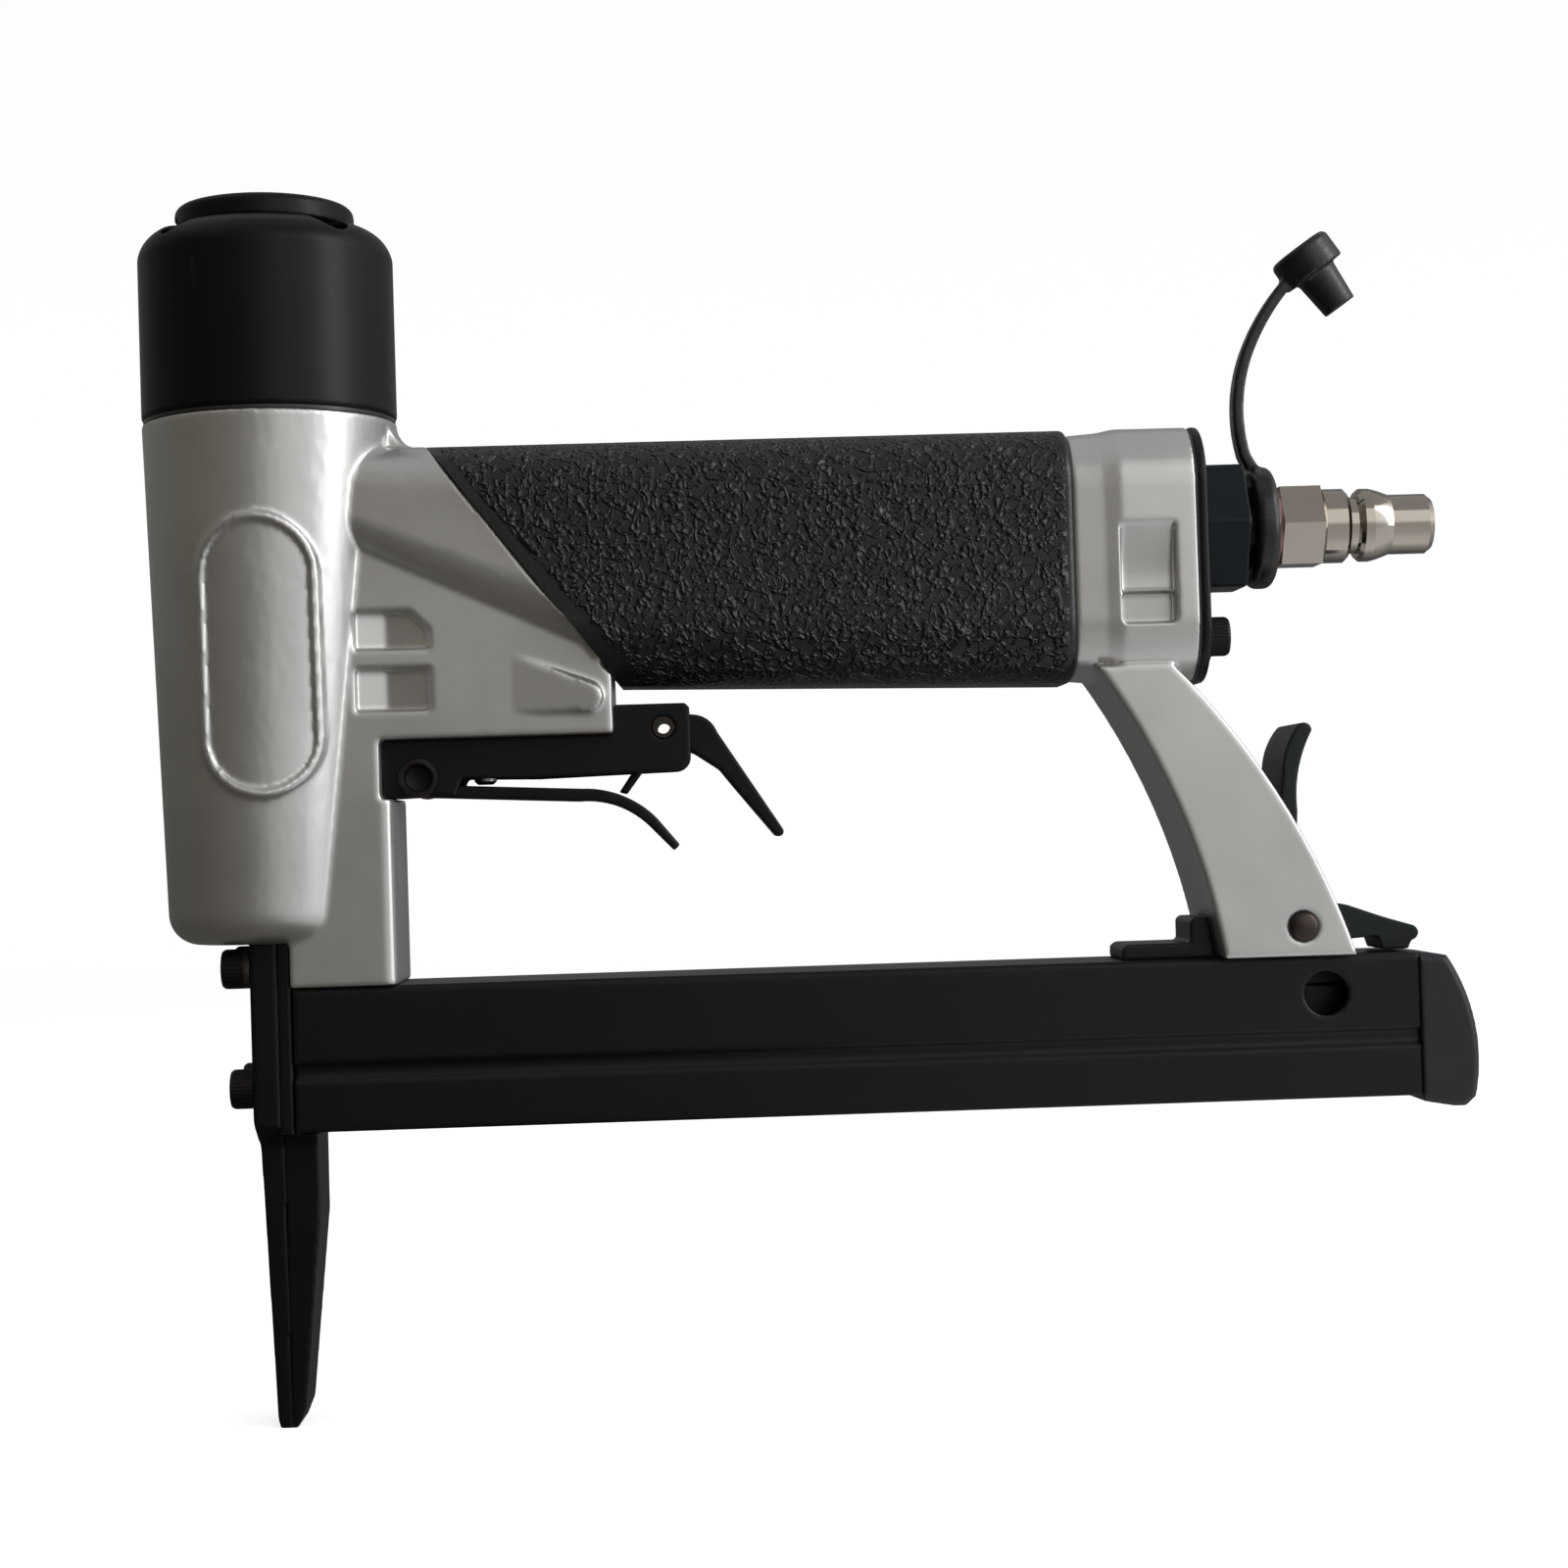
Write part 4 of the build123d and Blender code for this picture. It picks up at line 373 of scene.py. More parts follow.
MAKERS = {
    "casting": lambda f: painted("silver_paint", f.casting, 0.31, worn=0.06, peel_depth=0.004 * MM,
                                 metallic=0.80, dusty=0.0, worn_to=(0.62, 0.61, 0.60), density=1400.0,
                                 specular=0.5, marked=0.0),
    "grip_rubber": lambda f: rubber("grained_rubber", f.rubber, grain=True),
    "cap_black": lambda f: painted("cap_semigloss", f.cap, 0.34, worn=0.12, peel_depth=0.006 * MM,
                                   specular=0.16),
    "magazine_black": lambda f: painted("magazine_satin", f.magazine, 0.36, peel_depth=0.012 * MM),
    "black_steel": lambda f: painted("black_oxide", f.oxide, 0.34, worn=0.5, metallic=0.2),
    "screw_black": lambda f: painted("screw_oxide", f.screws, 0.38, worn=0.5, metallic=0.3,
                                     worn_to=(0.12, 0.10, 0.09)),
    "latch_grey": lambda f: painted("latch_phosphate", f.latch, 0.42, worn=0.4, metallic=0.3),
    "pin_steel": lambda f: metal("dark_pin", f.pin, 0.35),
    "bright_steel": lambda f: metal("ground_steel", f.bare, 0.28),
    "spring_steel": lambda f: metal("spring_wire", f.spring, 0.30, brushed=400.0),
    "liner": lambda f: metal("anodised_liner", f.alloy, 0.40),
    "piston_alloy": lambda f: metal("turned_alloy", f.alloy, 0.33, turn=(0, math.pi / 2, 0)),
    "brass": lambda f: metal("turned_brass", f.brass, 0.30),
    # plating whose colour is dimmed and warmed as a painted reflection of the dim, warm room
    "chrome": lambda f: metal("bright_plating", f.chrome, 0.10, depth=0.003 * MM, stain=0.12),
    "seal_rubber": lambda f: rubber("smooth_seal", f.seal),
    "pink_seal": lambda f: rubber("thread_seal", f.pink_seal, roughness=0.25),
    "bushing_black": lambda f: painted("bushing_black", f.bushing, 0.34, worn=0.4, metallic=0.3),
    "end_cap_grey": lambda f: painted("end_cap_charcoal", f.end_cap, 0.40, worn=0.45, metallic=0.2,
                                      worn_to=(0.22, 0.22, 0.22)),
}


def finish_for(slot):
    """The material of a slot of the record, made the first time it is asked for."""
    known = {m.get("slot"): m for m in bpy.data.materials if m.get("slot")}
    if slot not in known:
        known[slot] = MAKERS[slot](bpy.context.scene.stapler_finish)
        known[slot]["slot"] = slot
    return known[slot]


# ------------------------------------------------------------------ mesh helpers

def new_object(name, mesh):
    made = bpy.data.objects.new(name, mesh)
    bpy.context.scene.collection.objects.link(made)
    return made


def baked(obj):
    """The evaluated object as a plain mesh on a new object; the old one is removed."""
    bpy.context.view_layer.update()
    graph = bpy.context.evaluated_depsgraph_get()
    mesh = bpy.data.meshes.new_from_object(obj.evaluated_get(graph))
    label = obj.name
    bpy.data.objects.remove(obj)
    mesh.name = label
    return new_object(label, mesh)


def merged_copy(node, name):
    """A copy of a CAD node's triangles as one connected mesh."""
    mesh = frame["nodes"][node].data.copy()
    shape = bmesh.new()
    shape.from_mesh(mesh)
    bmesh.ops.remove_doubles(shape, verts=shape.verts, dist=0.002 * MM)
    shape.to_mesh(mesh)
    shape.free()
    mesh.materials.clear()
    return new_object(name, mesh)


def rounded_copy(node, voxel, smooth, triangles):
    """A CAD node's shape with its edges rounded, as a cast, stamped or deburred piece has them.

    It is remeshed on a grid of voxel size, smoothed in so many steps and thinned to so many triangles."""
    piece = merged_copy(node, node + "_finished")
    remesh = piece.modifiers.new("grid", "REMESH")
    remesh.mode = "VOXEL"
    remesh.voxel_size = voxel
    soft = piece.modifiers.new("soft", "SMOOTH")
    soft.factor = 0.5
    soft.iterations = smooth
    piece = baked(piece)
    count = sum(len(p.vertices) - 2 for p in piece.data.polygons)
    if count > triangles:
        fewer = piece.modifiers.new("fewer", "DECIMATE")
        fewer.ratio = triangles / count
        piece = baked(piece)
    for face in piece.data.polygons:
        face.use_smooth = True
    # large flat faces keep their own direction next to the rounded edges
    weighted = piece.modifiers.new("normals", "WEIGHTED_NORMAL")
    weighted.weight = 60
    return baked(piece)


def stand_for(piece, node, slot=None):
    """piece takes the place of a CAD node, on its body and with its finish."""
    slot = slot or SLOT_OF[node]
    piece.data.materials.clear()
    piece.data.materials.append(finish_for(slot))
    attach(piece, BODY_OF[node])
    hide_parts(node)
    return piece


def dress(*nodes):
    """CAD nodes that keep their shape get their finish."""
    for node in nodes:
        obj = frame["nodes"][node]
        obj.data.materials.clear()
        obj.data.materials.append(finish_for(SLOT_OF[node]))


def round_off(*nodes, voxel, smooth, triangles, slot=None):
    """Rounded copies take the place of CAD nodes."""
    for node in nodes:
        stand_for(rounded_copy(node, voxel, smooth, triangles), node, slot)


def cleared(piece, node, margin):
    """Reopens the upright groove that a moving CAD node runs in, where rounding has closed in on it."""
    low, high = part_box(node)
    reach = Vector((margin, margin, BLADE_REACH))
    low, high = low - reach, high + reach
    cutter = bmesh.new()
    bmesh.ops.create_cube(cutter, size=1.0, matrix=Matrix.Translation((low + high) / 2) @ Matrix.Diagonal(
        (*(high - low), 1)))
    mesh = bpy.data.meshes.new("groove")
    cutter.to_mesh(mesh)
    cutter.free()
    tool = new_object("groove", mesh)
    cut = piece.modifiers.new("groove", "BOOLEAN")
    cut.object = tool
    cut.solver = "EXACT"
    piece = baked(piece)
    bpy.data.objects.remove(tool)
    piece.data.set_sharp_from_angle(angle=SHARP_ON_ROUNDED)
    return piece


def turned(node, axis, profile, segments=48):
    """A piece turned about the middle of a CAD node's box.

    Its profile is (place along the axis, radius) pairs in mm, and starts and ends on the axis."""
    low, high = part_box(node)
    middle = (low + high) / 2
    along = AXES[axis]
    side = AXES["x" if axis != "x" else "y"]
    shape = bmesh.new()
    rings = []
    for place, radius in profile:
        centre = middle + along * place * MM
        if radius == 0:
            rings.append([shape.verts.new(centre)])
            continue
        turns = [Quaternion(along, 2 * math.pi * k / segments) for k in range(segments)]
        rings.append([shape.verts.new(centre + turn @ side * radius * MM) for turn in turns])
    for one, two in zip(rings, rings[1:]):
        for k in range(segments):
            corners = [one[k % len(one)], one[(k + 1) % len(one)],
                       two[(k + 1) % len(two)], two[k % len(two)]]
            shape.faces.new(list(dict.fromkeys(corners)))
    bmesh.ops.recalc_face_normals(shape, faces=shape.faces)
    mesh = bpy.data.meshes.new(node + "_turned")
    shape.to_mesh(mesh)
    shape.free()
    for face in mesh.polygons:
        face.use_smooth = True
    mesh.set_sharp_from_angle(angle=SHARP_ON_TURNED)
    return stand_for(new_object(node + "_turned", mesh), node)


# ------------------------------------------------------------------ geometry nodes

def geometry_tree(name, inputs):
    """An empty Geometry Nodes tree with inputs as (name, socket type, default).

    Returns the group, its Tree and the inputs by name."""
    group = bpy.data.node_groups.new(name, "GeometryNodeTree")
    group.interface.new_socket("Geometry", in_out="INPUT", socket_type="NodeSocketGeometry")
    for label, kind, value in inputs:
        socket = group.interface.new_socket(label, in_out="INPUT", socket_type=kind)
        if value is not None:
            socket.default_value = value
    group.interface.new_socket("Geometry", in_out="OUTPUT", socket_type="NodeSocketGeometry")
    start = group.nodes.new("NodeGroupInput")
    return group, Tree(group), {s.name: s for s in start.outputs if s.name}


def placed(tree, use, shape):
    """Ends a tree: the shape on every point of the input, its Z along Axis, as faces with the material."""
    turn = tree.add("FunctionNodeAlignRotationToVector", settings={"axis": "Z"}, Vector=use["Axis"])
    many = tree.add("GeometryNodeInstanceOnPoints", Points=use["Geometry"], Instance=shape, Rotation=turn)
    real = tree.add("GeometryNodeRealizeInstances", Geometry=many)
    done = tree.add("GeometryNodeSetMaterial", Geometry=real, Material=use["Material"])
    end = tree.tree.nodes.new("NodeGroupOutput")
    tree.tree.links.new(done, end.inputs[0])


def socket_screw_tree():
    """Socket head screws: chamfered head with a straight knurl, hexagon socket and threaded shank."""
    name = "socket_screws"
    if name in bpy.data.node_groups:
        return bpy.data.node_groups[name]
    group, tree, use = geometry_tree(name, [
        ("Head Radius", "NodeSocketFloat", 3.5 * MM), ("Head Height", "NodeSocketFloat", 4.0 * MM),
        ("Shank Radius", "NodeSocketFloat", 2.0 * MM), ("Shank Length", "NodeSocketFloat", 12.0 * MM),
        ("Hexagon", "NodeSocketFloat", 3.0 * MM), ("Pitch", "NodeSocketFloat", 0.7 * MM),
        ("Knurls", "NodeSocketInt", 32), ("Knurl Depth", "NodeSocketFloat", 0.12 * MM),
        ("Axis", "NodeSocketVector", (0, 0, 1)), ("Material", "NodeSocketMaterial", None)])
    around = tree.math("MULTIPLY", use["Knurls"], 6.0)
    head = tree.add("GeometryNodeMeshCylinder", Vertices=around, Side_Segments=10,
                    Radius=use["Head Radius"], Depth=use["Head Height"])
    up = tree.math("MULTIPLY", use["Head Height"], 0.5)
    head = tree.add("GeometryNodeTransform", Geometry=head,
                    Translation=tree.add("ShaderNodeCombineXYZ", Z=up))
    where = tree.add("GeometryNodeInputPosition")
    xyz = tree.add("ShaderNodeSeparateXYZ", out=None, Vector=where)
    turn = tree.math("ARCTAN2", xyz.outputs[1], xyz.outputs[0])
    share = tree.math("DIVIDE", xyz.outputs[2], use["Head Height"])
    # the top edge is rolled in, and the knurl stands between the plain rims
    roll = tree.band(share, 0.86, 1.0, to_low=1.0, to_high=0.90)
    wave = tree.math("SINE", tree.math("MULTIPLY", turn, use["Knurls"]))
    rim = tree.math("MULTIPLY", tree.band(share, 0.05, 0.15), tree.band(share, 0.92, 0.80))
    depth = tree.math("DIVIDE", use["Knurl Depth"], use["Head Radius"])
    tooth = tree.math("MULTIPLY", tree.math("MULTIPLY", tree.math("SUBTRACT", wave, 1.0), rim),
                      tree.math("MULTIPLY", depth, 0.5))
    factor = tree.math("ADD", roll, tooth)
    flat = tree.add("ShaderNodeCombineXYZ", X=factor, Y=factor, Z=1.0)
    shaped = tree.add("ShaderNodeVectorMath", settings={"operation": "MULTIPLY"}, i0=where, i1=flat)
    head = tree.add("GeometryNodeSetPosition", Geometry=head, Position=shaped)
    corner = tree.math("MULTIPLY", use["Hexagon"], HEXAGON_CORNER)
    hexagon = tree.add("GeometryNodeMeshCylinder", Vertices=6, Radius=corner, Depth=use["Head Height"])
    hexagon = tree.add("GeometryNodeTransform", Geometry=hexagon, Translation=tree.add(
        "ShaderNodeCombineXYZ", Z=tree.math("MULTIPLY", use["Head Height"], 0.95)))
    head = tree.add("GeometryNodeMeshBoolean", i0=head, i1=hexagon)
    turns = tree.math("DIVIDE", use["Shank Length"], use["Pitch"])
    shank = tree.add("GeometryNodeMeshCylinder", Vertices=24, Radius=use["Shank Radius"],
                     Side_Segments=tree.math("MULTIPLY", turns, 4.0), Depth=use["Shank Length"])
    thread = tree.math("SINE", tree.math("ADD", turn, tree.math(
        "MULTIPLY", tree.math("DIVIDE", xyz.outputs[2], use["Pitch"]), 2 * math.pi)))
    narrow = tree.math("ADD", 0.93, tree.math("MULTIPLY", thread, 0.06))
    groove = tree.add("ShaderNodeVectorMath", settings={"operation": "MULTIPLY"}, i0=where,
                      i1=tree.add("ShaderNodeCombineXYZ", X=narrow, Y=narrow, Z=1.0))
    shank = tree.add("GeometryNodeSetPosition", Geometry=shank, Position=groove)
    # the shank hangs below the head and ends just inside it
    shank = tree.add("GeometryNodeTransform", Geometry=shank, Translation=tree.add(
        "ShaderNodeCombineXYZ", Z=tree.math("MULTIPLY", use["Shank Length"], -0.499)))
    both = tree.tree.nodes.new("GeometryNodeJoinGeometry")
    for part in (head, shank):
        tree.tree.links.new(part, both.inputs[0])
    placed(tree, use, both.outputs[0])
    return group


def coil_spring_tree():
    """Wound springs whose first and last turn lie flat."""
    name = "coil_springs"
    if name in bpy.data.node_groups:
        return bpy.data.node_groups[name]
    group, tree, use = geometry_tree(name, [
        ("Coil Radius", "NodeSocketFloat", 3.0 * MM), ("Wire Radius", "NodeSocketFloat", 0.4 * MM),
        ("Height", "NodeSocketFloat", 10 * MM), ("Turns", "NodeSocketFloat", 5.0),
        ("Axis", "NodeSocketVector", (0, 0, 1)), ("Material", "NodeSocketMaterial", None)])
    spiral = tree.add("GeometryNodeCurveSpiral", Resolution=28, Rotations=use["Turns"],
                      Start_Radius=use["Coil Radius"], End_Radius=use["Coil Radius"], Height=0.0)
    along = tree.add("GeometryNodeSplineParameter", out=0)
    flat_share = tree.math("DIVIDE", 0.8, use["Turns"])
    lift = tree.band(along, flat_share, tree.math("SUBTRACT", 1.0, flat_share))
    lift.node.interpolation_type = "LINEAR"
    wire_width = tree.math("MULTIPLY", use["Wire Radius"], 2.0)
    rise = tree.math("ADD", tree.math("MULTIPLY", lift, tree.math("SUBTRACT", use["Height"], wire_width)),
                     use["Wire Radius"])
    wound = tree.add("GeometryNodeSetPosition", Geometry=spiral,
                     Offset=tree.add("ShaderNodeCombineXYZ", Z=rise))
    wire = tree.add("GeometryNodeCurvePrimitiveCircle", Resolution=10, Radius=use["Wire Radius"])
    solid = tree.add("GeometryNodeCurveToMesh", Curve=wound, Profile_Curve=wire, Fill_Caps=True)
    placed(tree, use, solid)
    return group


def grown(name, tree, points, **values):
    """A piece made by a Geometry Nodes tree on the points given, as a plain mesh."""
    mesh = bpy.data.meshes.new(name)
    mesh.from_pydata([tuple(p) for p in points], [], [])
    base = new_object(name, mesh)
    nodes = base.modifiers.new("tree", "NODES")
    nodes.node_group = tree
    named = {item.name: item.identifier for item in tree.interface.items_tree if item.in_out == "INPUT"}
    for key, value in values.items():
        nodes[named[key.replace("_", " ")]] = value
    piece = baked(base)
    for face in piece.data.polygons:
        face.use_smooth = True
    piece.data.set_sharp_from_angle(angle=SHARP_EDGE)
    return piece


def spring(node, axis, wire_radius, turns):
    """A wound spring that fills a CAD spring's box."""
    low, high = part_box(node)
    along = "xyz".index(axis)
    across = (along + 1) % 3
    foot = (low + high) / 2
    foot[along] = low[along]
    piece = grown(node + "_wound", coil_spring_tree(), [foot],
                  Coil_Radius=(high - low)[across] / 2 - wire_radius, Wire_Radius=wire_radius,
                  Height=(high - low)[along], Turns=turns, Axis=tuple(AXES[axis]),
                  Material=finish_for(SLOT_OF[node]))
    return stand_for(piece, node)


def screws(node, points, axis, shank, size):
    """Socket head screws with their heads standing on the points given and looking along axis."""
    knurl_depth = bpy.context.scene.stapler_sizes.knurl_depth
    piece = grown(node + "_turned", socket_screw_tree(), points,
                  Head_Radius=size["head"][0] * MM, Head_Height=size["head"][1] * MM,
                  Shank_Radius=size["radius"] * MM, Shank_Length=shank * MM, Hexagon=size["hexagon"] * MM,
                  Pitch=size["pitch"] * MM, Knurls=size["knurls"], Knurl_Depth=knurl_depth,
                  Axis=tuple(axis), Material=finish_for(SLOT_OF[node]))
    return stand_for(piece, node)


# ------------------------------------------------------------------ operators

class STAPLER_OT_casting(bpy.types.Operator):
    """Body casting: the painted casting with its cast edges rounded"""
    bl_idname = "stapler.casting"
    bl_label = "Casting"

    def execute(self, context):
        sizes = context.scene.stapler_sizes
        round_off("body_casting", voxel=sizes.casting_voxel, smooth=7, triangles=195000)
        dress("end_gasket")
        return {"FINISHED"}


class STAPLER_OT_grip(bpy.types.Operator):
    """Grip: the rubber sleeve"""
    bl_idname = "stapler.grip"
    bl_label = "Grip sleeve"

    def execute(self, context):
        dress("grip_sleeve")
        return {"FINISHED"}


class STAPLER_OT_head(bpy.types.Operator):
    """Head: cap, gasket, deflector and what they hold"""
    bl_idname = "stapler.head"
    bl_label = "Head"

    def execute(self, context):
        sizes = context.scene.stapler_sizes
        round_off("cylinder_cap", "exhaust_deflector", voxel=sizes.plate_voxel, smooth=3, triangles=90000)
        dress("cap_gasket", "cylinder", "cylinder_o_ring", "head_valve", "head_valve_o_ring", "bumper",
              "piston", "piston_ring", "driver_blade", "blade_pin")
        coil = spring("head_valve_spring", "z", wire_radius=0.7 * MM, turns=4.5)
        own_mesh(coil)
        return {"FINISHED"}


class STAPLER_OT_nose(bpy.types.Operator):
    """Nose: its two plates and the washers"""
    bl_idname = "stapler.nose"
    bl_label = "Nose"

    def execute(self, context):
        voxel = context.scene.stapler_sizes.plate_voxel
        for node in ("front_plate", "nose_guide"):
            plate = rounded_copy(node, voxel, smooth=3, triangles=40000)
            stand_for(cleared(plate, "driver_blade", BLADE_ROOM), node)
        dress("nose_washers")
        return {"FINISHED"}


class STAPLER_OT_screws(bpy.types.Operator):
    """Screws: every socket head screw of the tool"""
    bl_idname = "stapler.screws"
    bl_label = "Socket head screws"

    def execute(self, context):
        radius, height = (value * MM for value in M4["head"])
        # pairs beside each other across Y: two in each plate of the nose and two in the end plate
        for node, shank, way in (("nose_screws_upper", 18, -1), ("nose_screws_lower", 14, -1),
                                 ("end_plate_screws", 13, 1)):
            low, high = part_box(node)
            middle = (low + high) / 2
            seat = high.x - height if way > 0 else low.x + height
            places = [Vector((seat, y, middle.z)) for y in (low.y + radius, high.y - radius)]
            screws(node, places, (way, 0, 0), shank, M4)
        low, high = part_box("cap_screws")
        reach = high.x - radius
        seat = high.z - height
        places = [Vector((x, y, seat)) for x in (reach, -reach) for y in (reach, -reach)]
        screws("cap_screws", places, (0, 0, 1), shank=20, size=M4)
        low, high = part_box("deflector_screw")
        seat = high.z - M3_LOW["head"][1] * MM
        screws("deflector_screw", [Vector((0, 0, seat))], (0, 0, 1), shank=6.5, size=M3_LOW)
        low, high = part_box("bracket_screws")
        radius, height = (value * MM for value in M3_FLAT["head"])
        places = [Vector((x, 0, low.z + height)) for x in (low.x + radius, high.x - radius)]
        screws("bracket_screws", places, (0, 0, -1), shank=9, size=M3_FLAT)
        return {"FINISHED"}


class STAPLER_OT_magazine(bpy.types.Operator):
    """Magazine: shell, clip, slide, pusher and their spring"""
    bl_idname = "stapler.magazine"
    bl_label = "Magazine"

    def execute(self, context):
        grid = context.scene.stapler_sizes.plate_voxel
        round_off("magazine_shell", voxel=1.2 * grid, smooth=2, triangles=90000)
        round_off("magazine_clip", "magazine_end_cap", voxel=grid, smooth=3, triangles=30000)
        round_off("magazine_rail", voxel=grid, smooth=2, triangles=40000, slot="black_steel")
        dress("guide_rod", "pusher", "end_cap_pin")
        coil = spring("pusher_spring", "x", wire_radius=0.3 * MM, turns=46)
        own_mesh(coil)
        return {"FINISHED"}


class STAPLER_OT_latch(bpy.types.Operator):
    """Latch: lever, pin and spring"""
    bl_idname = "stapler.latch"
    bl_label = "Latch"

    def execute(self, context):
        grid = context.scene.stapler_sizes.lever_voxel
        round_off("latch_lever", voxel=grid, smooth=4, triangles=60000)
        turned("latch_pin", "y", LATCH_PIN)
        spring("latch_spring", "y", wire_radius=0.5 * MM, turns=5.5)
        return {"FINISHED"}


class STAPLER_OT_trigger(bpy.types.Operator):
    """Trigger group: bracket, trigger, safety lever, pins, spring and the valve behind them"""
    bl_idname = "stapler.trigger"
    bl_label = "Trigger group"

    def execute(self, context):
        grid = context.scene.stapler_sizes.lever_voxel
        round_off("trigger_bracket", "trigger", "safety_lever", voxel=grid, smooth=3, triangles=60000)
        other_half = tuple((-place, radius) for place, radius in reversed(RIVET_HALF))
        turned("trigger_pin", "y", other_half + RIVET_HALF[1:])
        dress("safety_pin", "valve_bush", "valve_seat", "valve_stem", "valve_o_ring")
        spring("safety_spring", "y", wire_radius=0.35 * MM, turns=2.5)
        coil = spring("valve_spring", "z", wire_radius=0.45 * MM, turns=4.5)
        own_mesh(coil)
        return {"FINISHED"}


class STAPLER_OT_inlet(bpy.types.Operator):
    """Air inlet: end plate, bushing, plug, its seal and the dust cap"""
    bl_idname = "stapler.inlet"
    bl_label = "Air inlet"

    def execute(self, context):
        grid = context.scene.stapler_sizes.plate_voxel
        round_off("end_plate", "inlet_bushing", "dust_cap", voxel=grid, smooth=2, triangles=30000)
        dress("air_plug", "plug_seal")
        return {"FINISHED"}


# ------------------------------------------------------------------ stage

# The stage, in metres: middle of the tool, height of the wall's curve, and the camera's place and direction
TOOL_MIDDLE = Vector((0.09, 0.0, 0.11))
WALL_RISE = 0.8
CAMERA_PLACE = (0.0743, -0.4956, 0.1025)
CAMERA_AIM = Vector((0.0316, 0.9994, 0.0164))
CAMERA_ROLL = math.radians(-1.76)


def bowl(radius, rise, segments=96, steps=12):
    """A floor that turns up into a wall all round, facing inwards."""
    rings = [(0.0, 0.0), (radius, 0.0)]
    for step in range(1, steps + 1):
        turn = step / steps * math.pi / 2
        rings.append((radius + rise * math.sin(turn), rise * (1 - math.cos(turn))))
    rings.append((radius + rise, 3.0 * rise))
    shape = bmesh.new()
    middle = shape.verts.new((0, 0, 0))
    previous = None
    for r, z in rings[1:]:
        turns = [2 * math.pi * k / segments for k in range(segments)]
        ring = [shape.verts.new((r * math.cos(turn), r * math.sin(turn), z)) for turn in turns]
        for k in range(segments):
            after = (k + 1) % segments
            if previous is None:
                shape.faces.new((middle, ring[k], ring[after]))
            else:
                shape.faces.new((previous[k], ring[k], ring[after], previous[after]))
        previous = ring
    mesh = bpy.data.meshes.new("studio_floor")
    shape.to_mesh(mesh)
    shape.free()
    for face in mesh.polygons:
        face.use_smooth = True
    return new_object("studio_floor", mesh)


def area_light(name, place, size, power, tint=(1, 1, 1)):
    """A lamp that looks at the middle of the tool."""
    lamp = bpy.data.lights.new(name, "AREA")
    lamp.shape = "RECTANGLE"
    lamp.size, lamp.size_y = size
    lamp.energy = power
    lamp.color = tint
    made = bpy.data.objects.new(name, lamp)
    bpy.context.scene.collection.objects.link(made)
    made.location = place
    made.rotation_mode = "QUATERNION"
    made.rotation_quaternion = (TOOL_MIDDLE - Vector(place)).to_track_quat("-Z", "Y")
    made.visible_camera = False
    return made


# What the room around the tool looks like in its reflections: (bearing in degrees, colour). 0 is in
# front of the tool's near side, 90 behind its air inlet.
ROOM = ((-180, (0.12, 0.12, 0.12)), (-110, (0.10, 0.10, 0.09)), (-70, (0.09, 0.08, 0.065)),
        (-22, (0.115, 0.105, 0.09)), (-8, (0.18, 0.17, 0.155)), (2, (0.35, 0.34, 0.32)),
        (14, (0.62, 0.62, 0.605)), (38, (0.68, 0.69, 0.69)), (58, (0.90, 0.92, 0.94)),
        (82, (1.0, 1.0, 1.0)), (104, (0.50, 0.50, 0.50)), (135, (0.14, 0.14, 0.14)),
        (180, (0.12, 0.12, 0.12)))


def paper():
    """Pale paper to the camera, with the tool's soft shadow; to reflections it is the room around it."""
    made, tree, shader, where = material("studio_paper")
    shader.inputs["Base Color"].default_value = (0.42, 0.42, 0.42, 1)
    shader.inputs["Roughness"].default_value = 1.0
    shader.inputs["Specular IOR Level"].default_value = 0.0
    shader.inputs["Emission Color"].default_value = (1, 1, 1, 1)
    shader.inputs["Emission Strength"].default_value = 0.76
    from_tool = tree.mapped(where, shift=(-TOOL_MIDDLE.x, 0, 0))
    xyz = tree.add("ShaderNodeSeparateXYZ", out=None, Vector=from_tool)
    bearing = tree.math("ARCTAN2", xyz.outputs[0], tree.math("MULTIPLY", xyz.outputs[1], -1.0))
    share = tree.math("ADD", tree.math("MULTIPLY", bearing, 0.5 / math.pi), 0.5)
    ramp = tree.add("ShaderNodeValToRGB", out=None, Fac=share)
    stops = ramp.color_ramp.elements
    while len(stops) > 1:
        stops.remove(stops[-1])
    for k, (degrees, tone) in enumerate(ROOM):
        place = degrees / 360 + 0.5
        stop = stops[0] if k == 0 else stops.new(place)
        stop.position = place
        stop.color = (*tone, 1)
    # the room is darker near the floor
    height = tree.band(xyz.outputs[2], 0.02, 0.5, to_low=0.45, to_high=1.0)
    strength = tree.math("MULTIPLY", height, 2.0)
    glow = tree.add("ShaderNodeEmission", Color=ramp.outputs[0], Strength=strength)
    seen = tree.add("ShaderNodeLightPath", out="Is Camera Ray")
    both = tree.add("ShaderNodeMixShader", i0=seen, i1=glow, i2=shader.outputs[0])
    out = made.node_tree.nodes["Material Output"]
    linked(tree, both, out.inputs["Surface"])
    return made


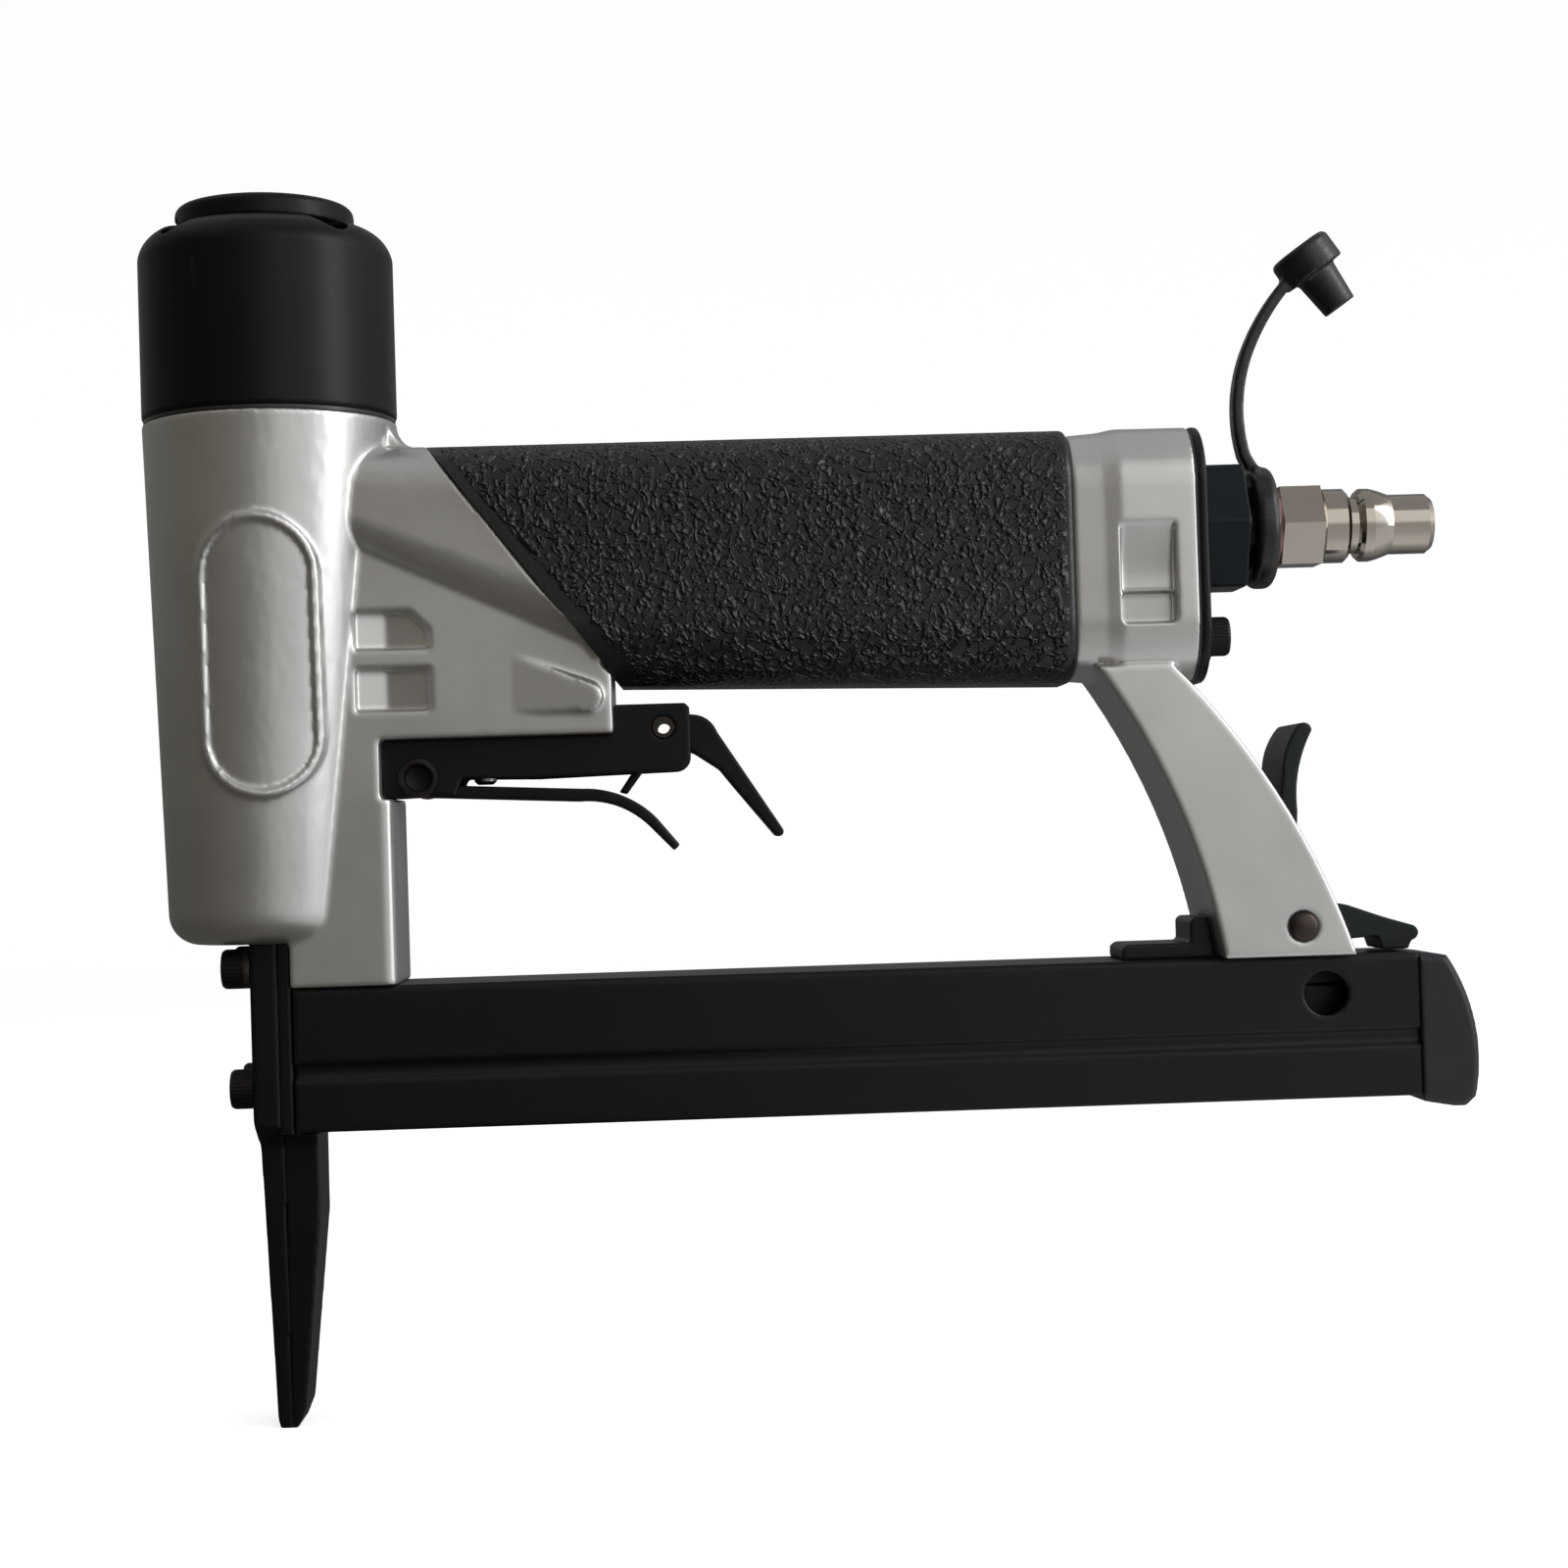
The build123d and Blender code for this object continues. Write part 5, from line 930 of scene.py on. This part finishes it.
class STAPLER_OT_stage(bpy.types.Operator):
    """Stage: a plain pale floor, soft lights and the camera"""
    bl_idname = "stapler.stage"
    bl_label = "Stage"

    def execute(self, context):
        sizes = context.scene.stapler_sizes
        scene = context.scene
        floor = bowl(sizes.floor_radius, WALL_RISE)
        floor.data.materials.append(paper())
        area_light("window", (1.2, -0.45, 0.55), size=(0.5, 1.1), power=5, tint=(0.97, 0.99, 1.0))
        ceiling = area_light("ceiling", (0.1, -0.1, 1.5), size=(1.4, 1.4), power=9)
        ceiling.visible_glossy = False
        scene.world = bpy.data.worlds.new("studio_air")
        scene.world.use_nodes = True
        air = Tree(scene.world.node_tree)
        seen = air.add("ShaderNodeLightPath", out="Is Camera Ray")
        sky = scene.world.node_tree.nodes["Background"]
        linked(air, air.band(seen, 0.0, 1.0, to_low=0.45, to_high=0.95), sky.inputs["Strength"])
        sky.inputs["Color"].default_value = (1.0, 1.0, 1.0, 1)
        camera = bpy.data.cameras.new("camera")
        camera.sensor_width = 36.0
        camera.lens = sizes.camera_lens
        camera.clip_start = 0.01
        camera.clip_end = 50.0
        eye = bpy.data.objects.new("camera", camera)
        scene.collection.objects.link(eye)
        eye.location = CAMERA_PLACE
        eye.rotation_mode = "QUATERNION"
        looking = CAMERA_AIM.to_track_quat("-Z", "Y")
        eye.rotation_quaternion = looking @ Quaternion((0, 0, 1), CAMERA_ROLL)
        scene.camera = eye
        scene.view_settings.view_transform = "Standard"
        return {"FINISHED"}


PIECES = (STAPLER_OT_casting, STAPLER_OT_grip, STAPLER_OT_head, STAPLER_OT_nose, STAPLER_OT_screws,
          STAPLER_OT_magazine, STAPLER_OT_latch, STAPLER_OT_trigger, STAPLER_OT_inlet, STAPLER_OT_stage)


class STAPLER_PT_panel(bpy.types.Panel):
    """Lists the stapler's pieces and their sizes and colours"""
    bl_label = "Stapler"
    bl_idname = "STAPLER_PT_panel"
    bl_space_type = "VIEW_3D"
    bl_region_type = "UI"
    bl_category = "Stapler"

    def draw(self, context):
        for made in PIECES:
            self.layout.operator(made.bl_idname)
        for group in (context.scene.stapler_sizes, context.scene.stapler_finish):
            box = self.layout.box()
            for key in group.bl_rna.properties.keys():
                if key not in ("rna_type", "name"):
                    box.prop(group, key)


CLASSES = (StaplerFinish, StaplerSizes, *PIECES, STAPLER_PT_panel)


def register():
    for made in CLASSES:
        bpy.utils.register_class(made)
    bpy.types.Scene.stapler_finish = bpy.props.PointerProperty(type=StaplerFinish)
    bpy.types.Scene.stapler_sizes = bpy.props.PointerProperty(type=StaplerSizes)


def unregister():
    del bpy.types.Scene.stapler_sizes
    del bpy.types.Scene.stapler_finish
    for made in reversed(CLASSES):
        bpy.utils.unregister_class(made)


def main():
    register()
    for made in PIECES:
        group, action = made.bl_idname.split(".")
        getattr(getattr(bpy.ops, group), action)()


if __name__ == "__main__":
    main()
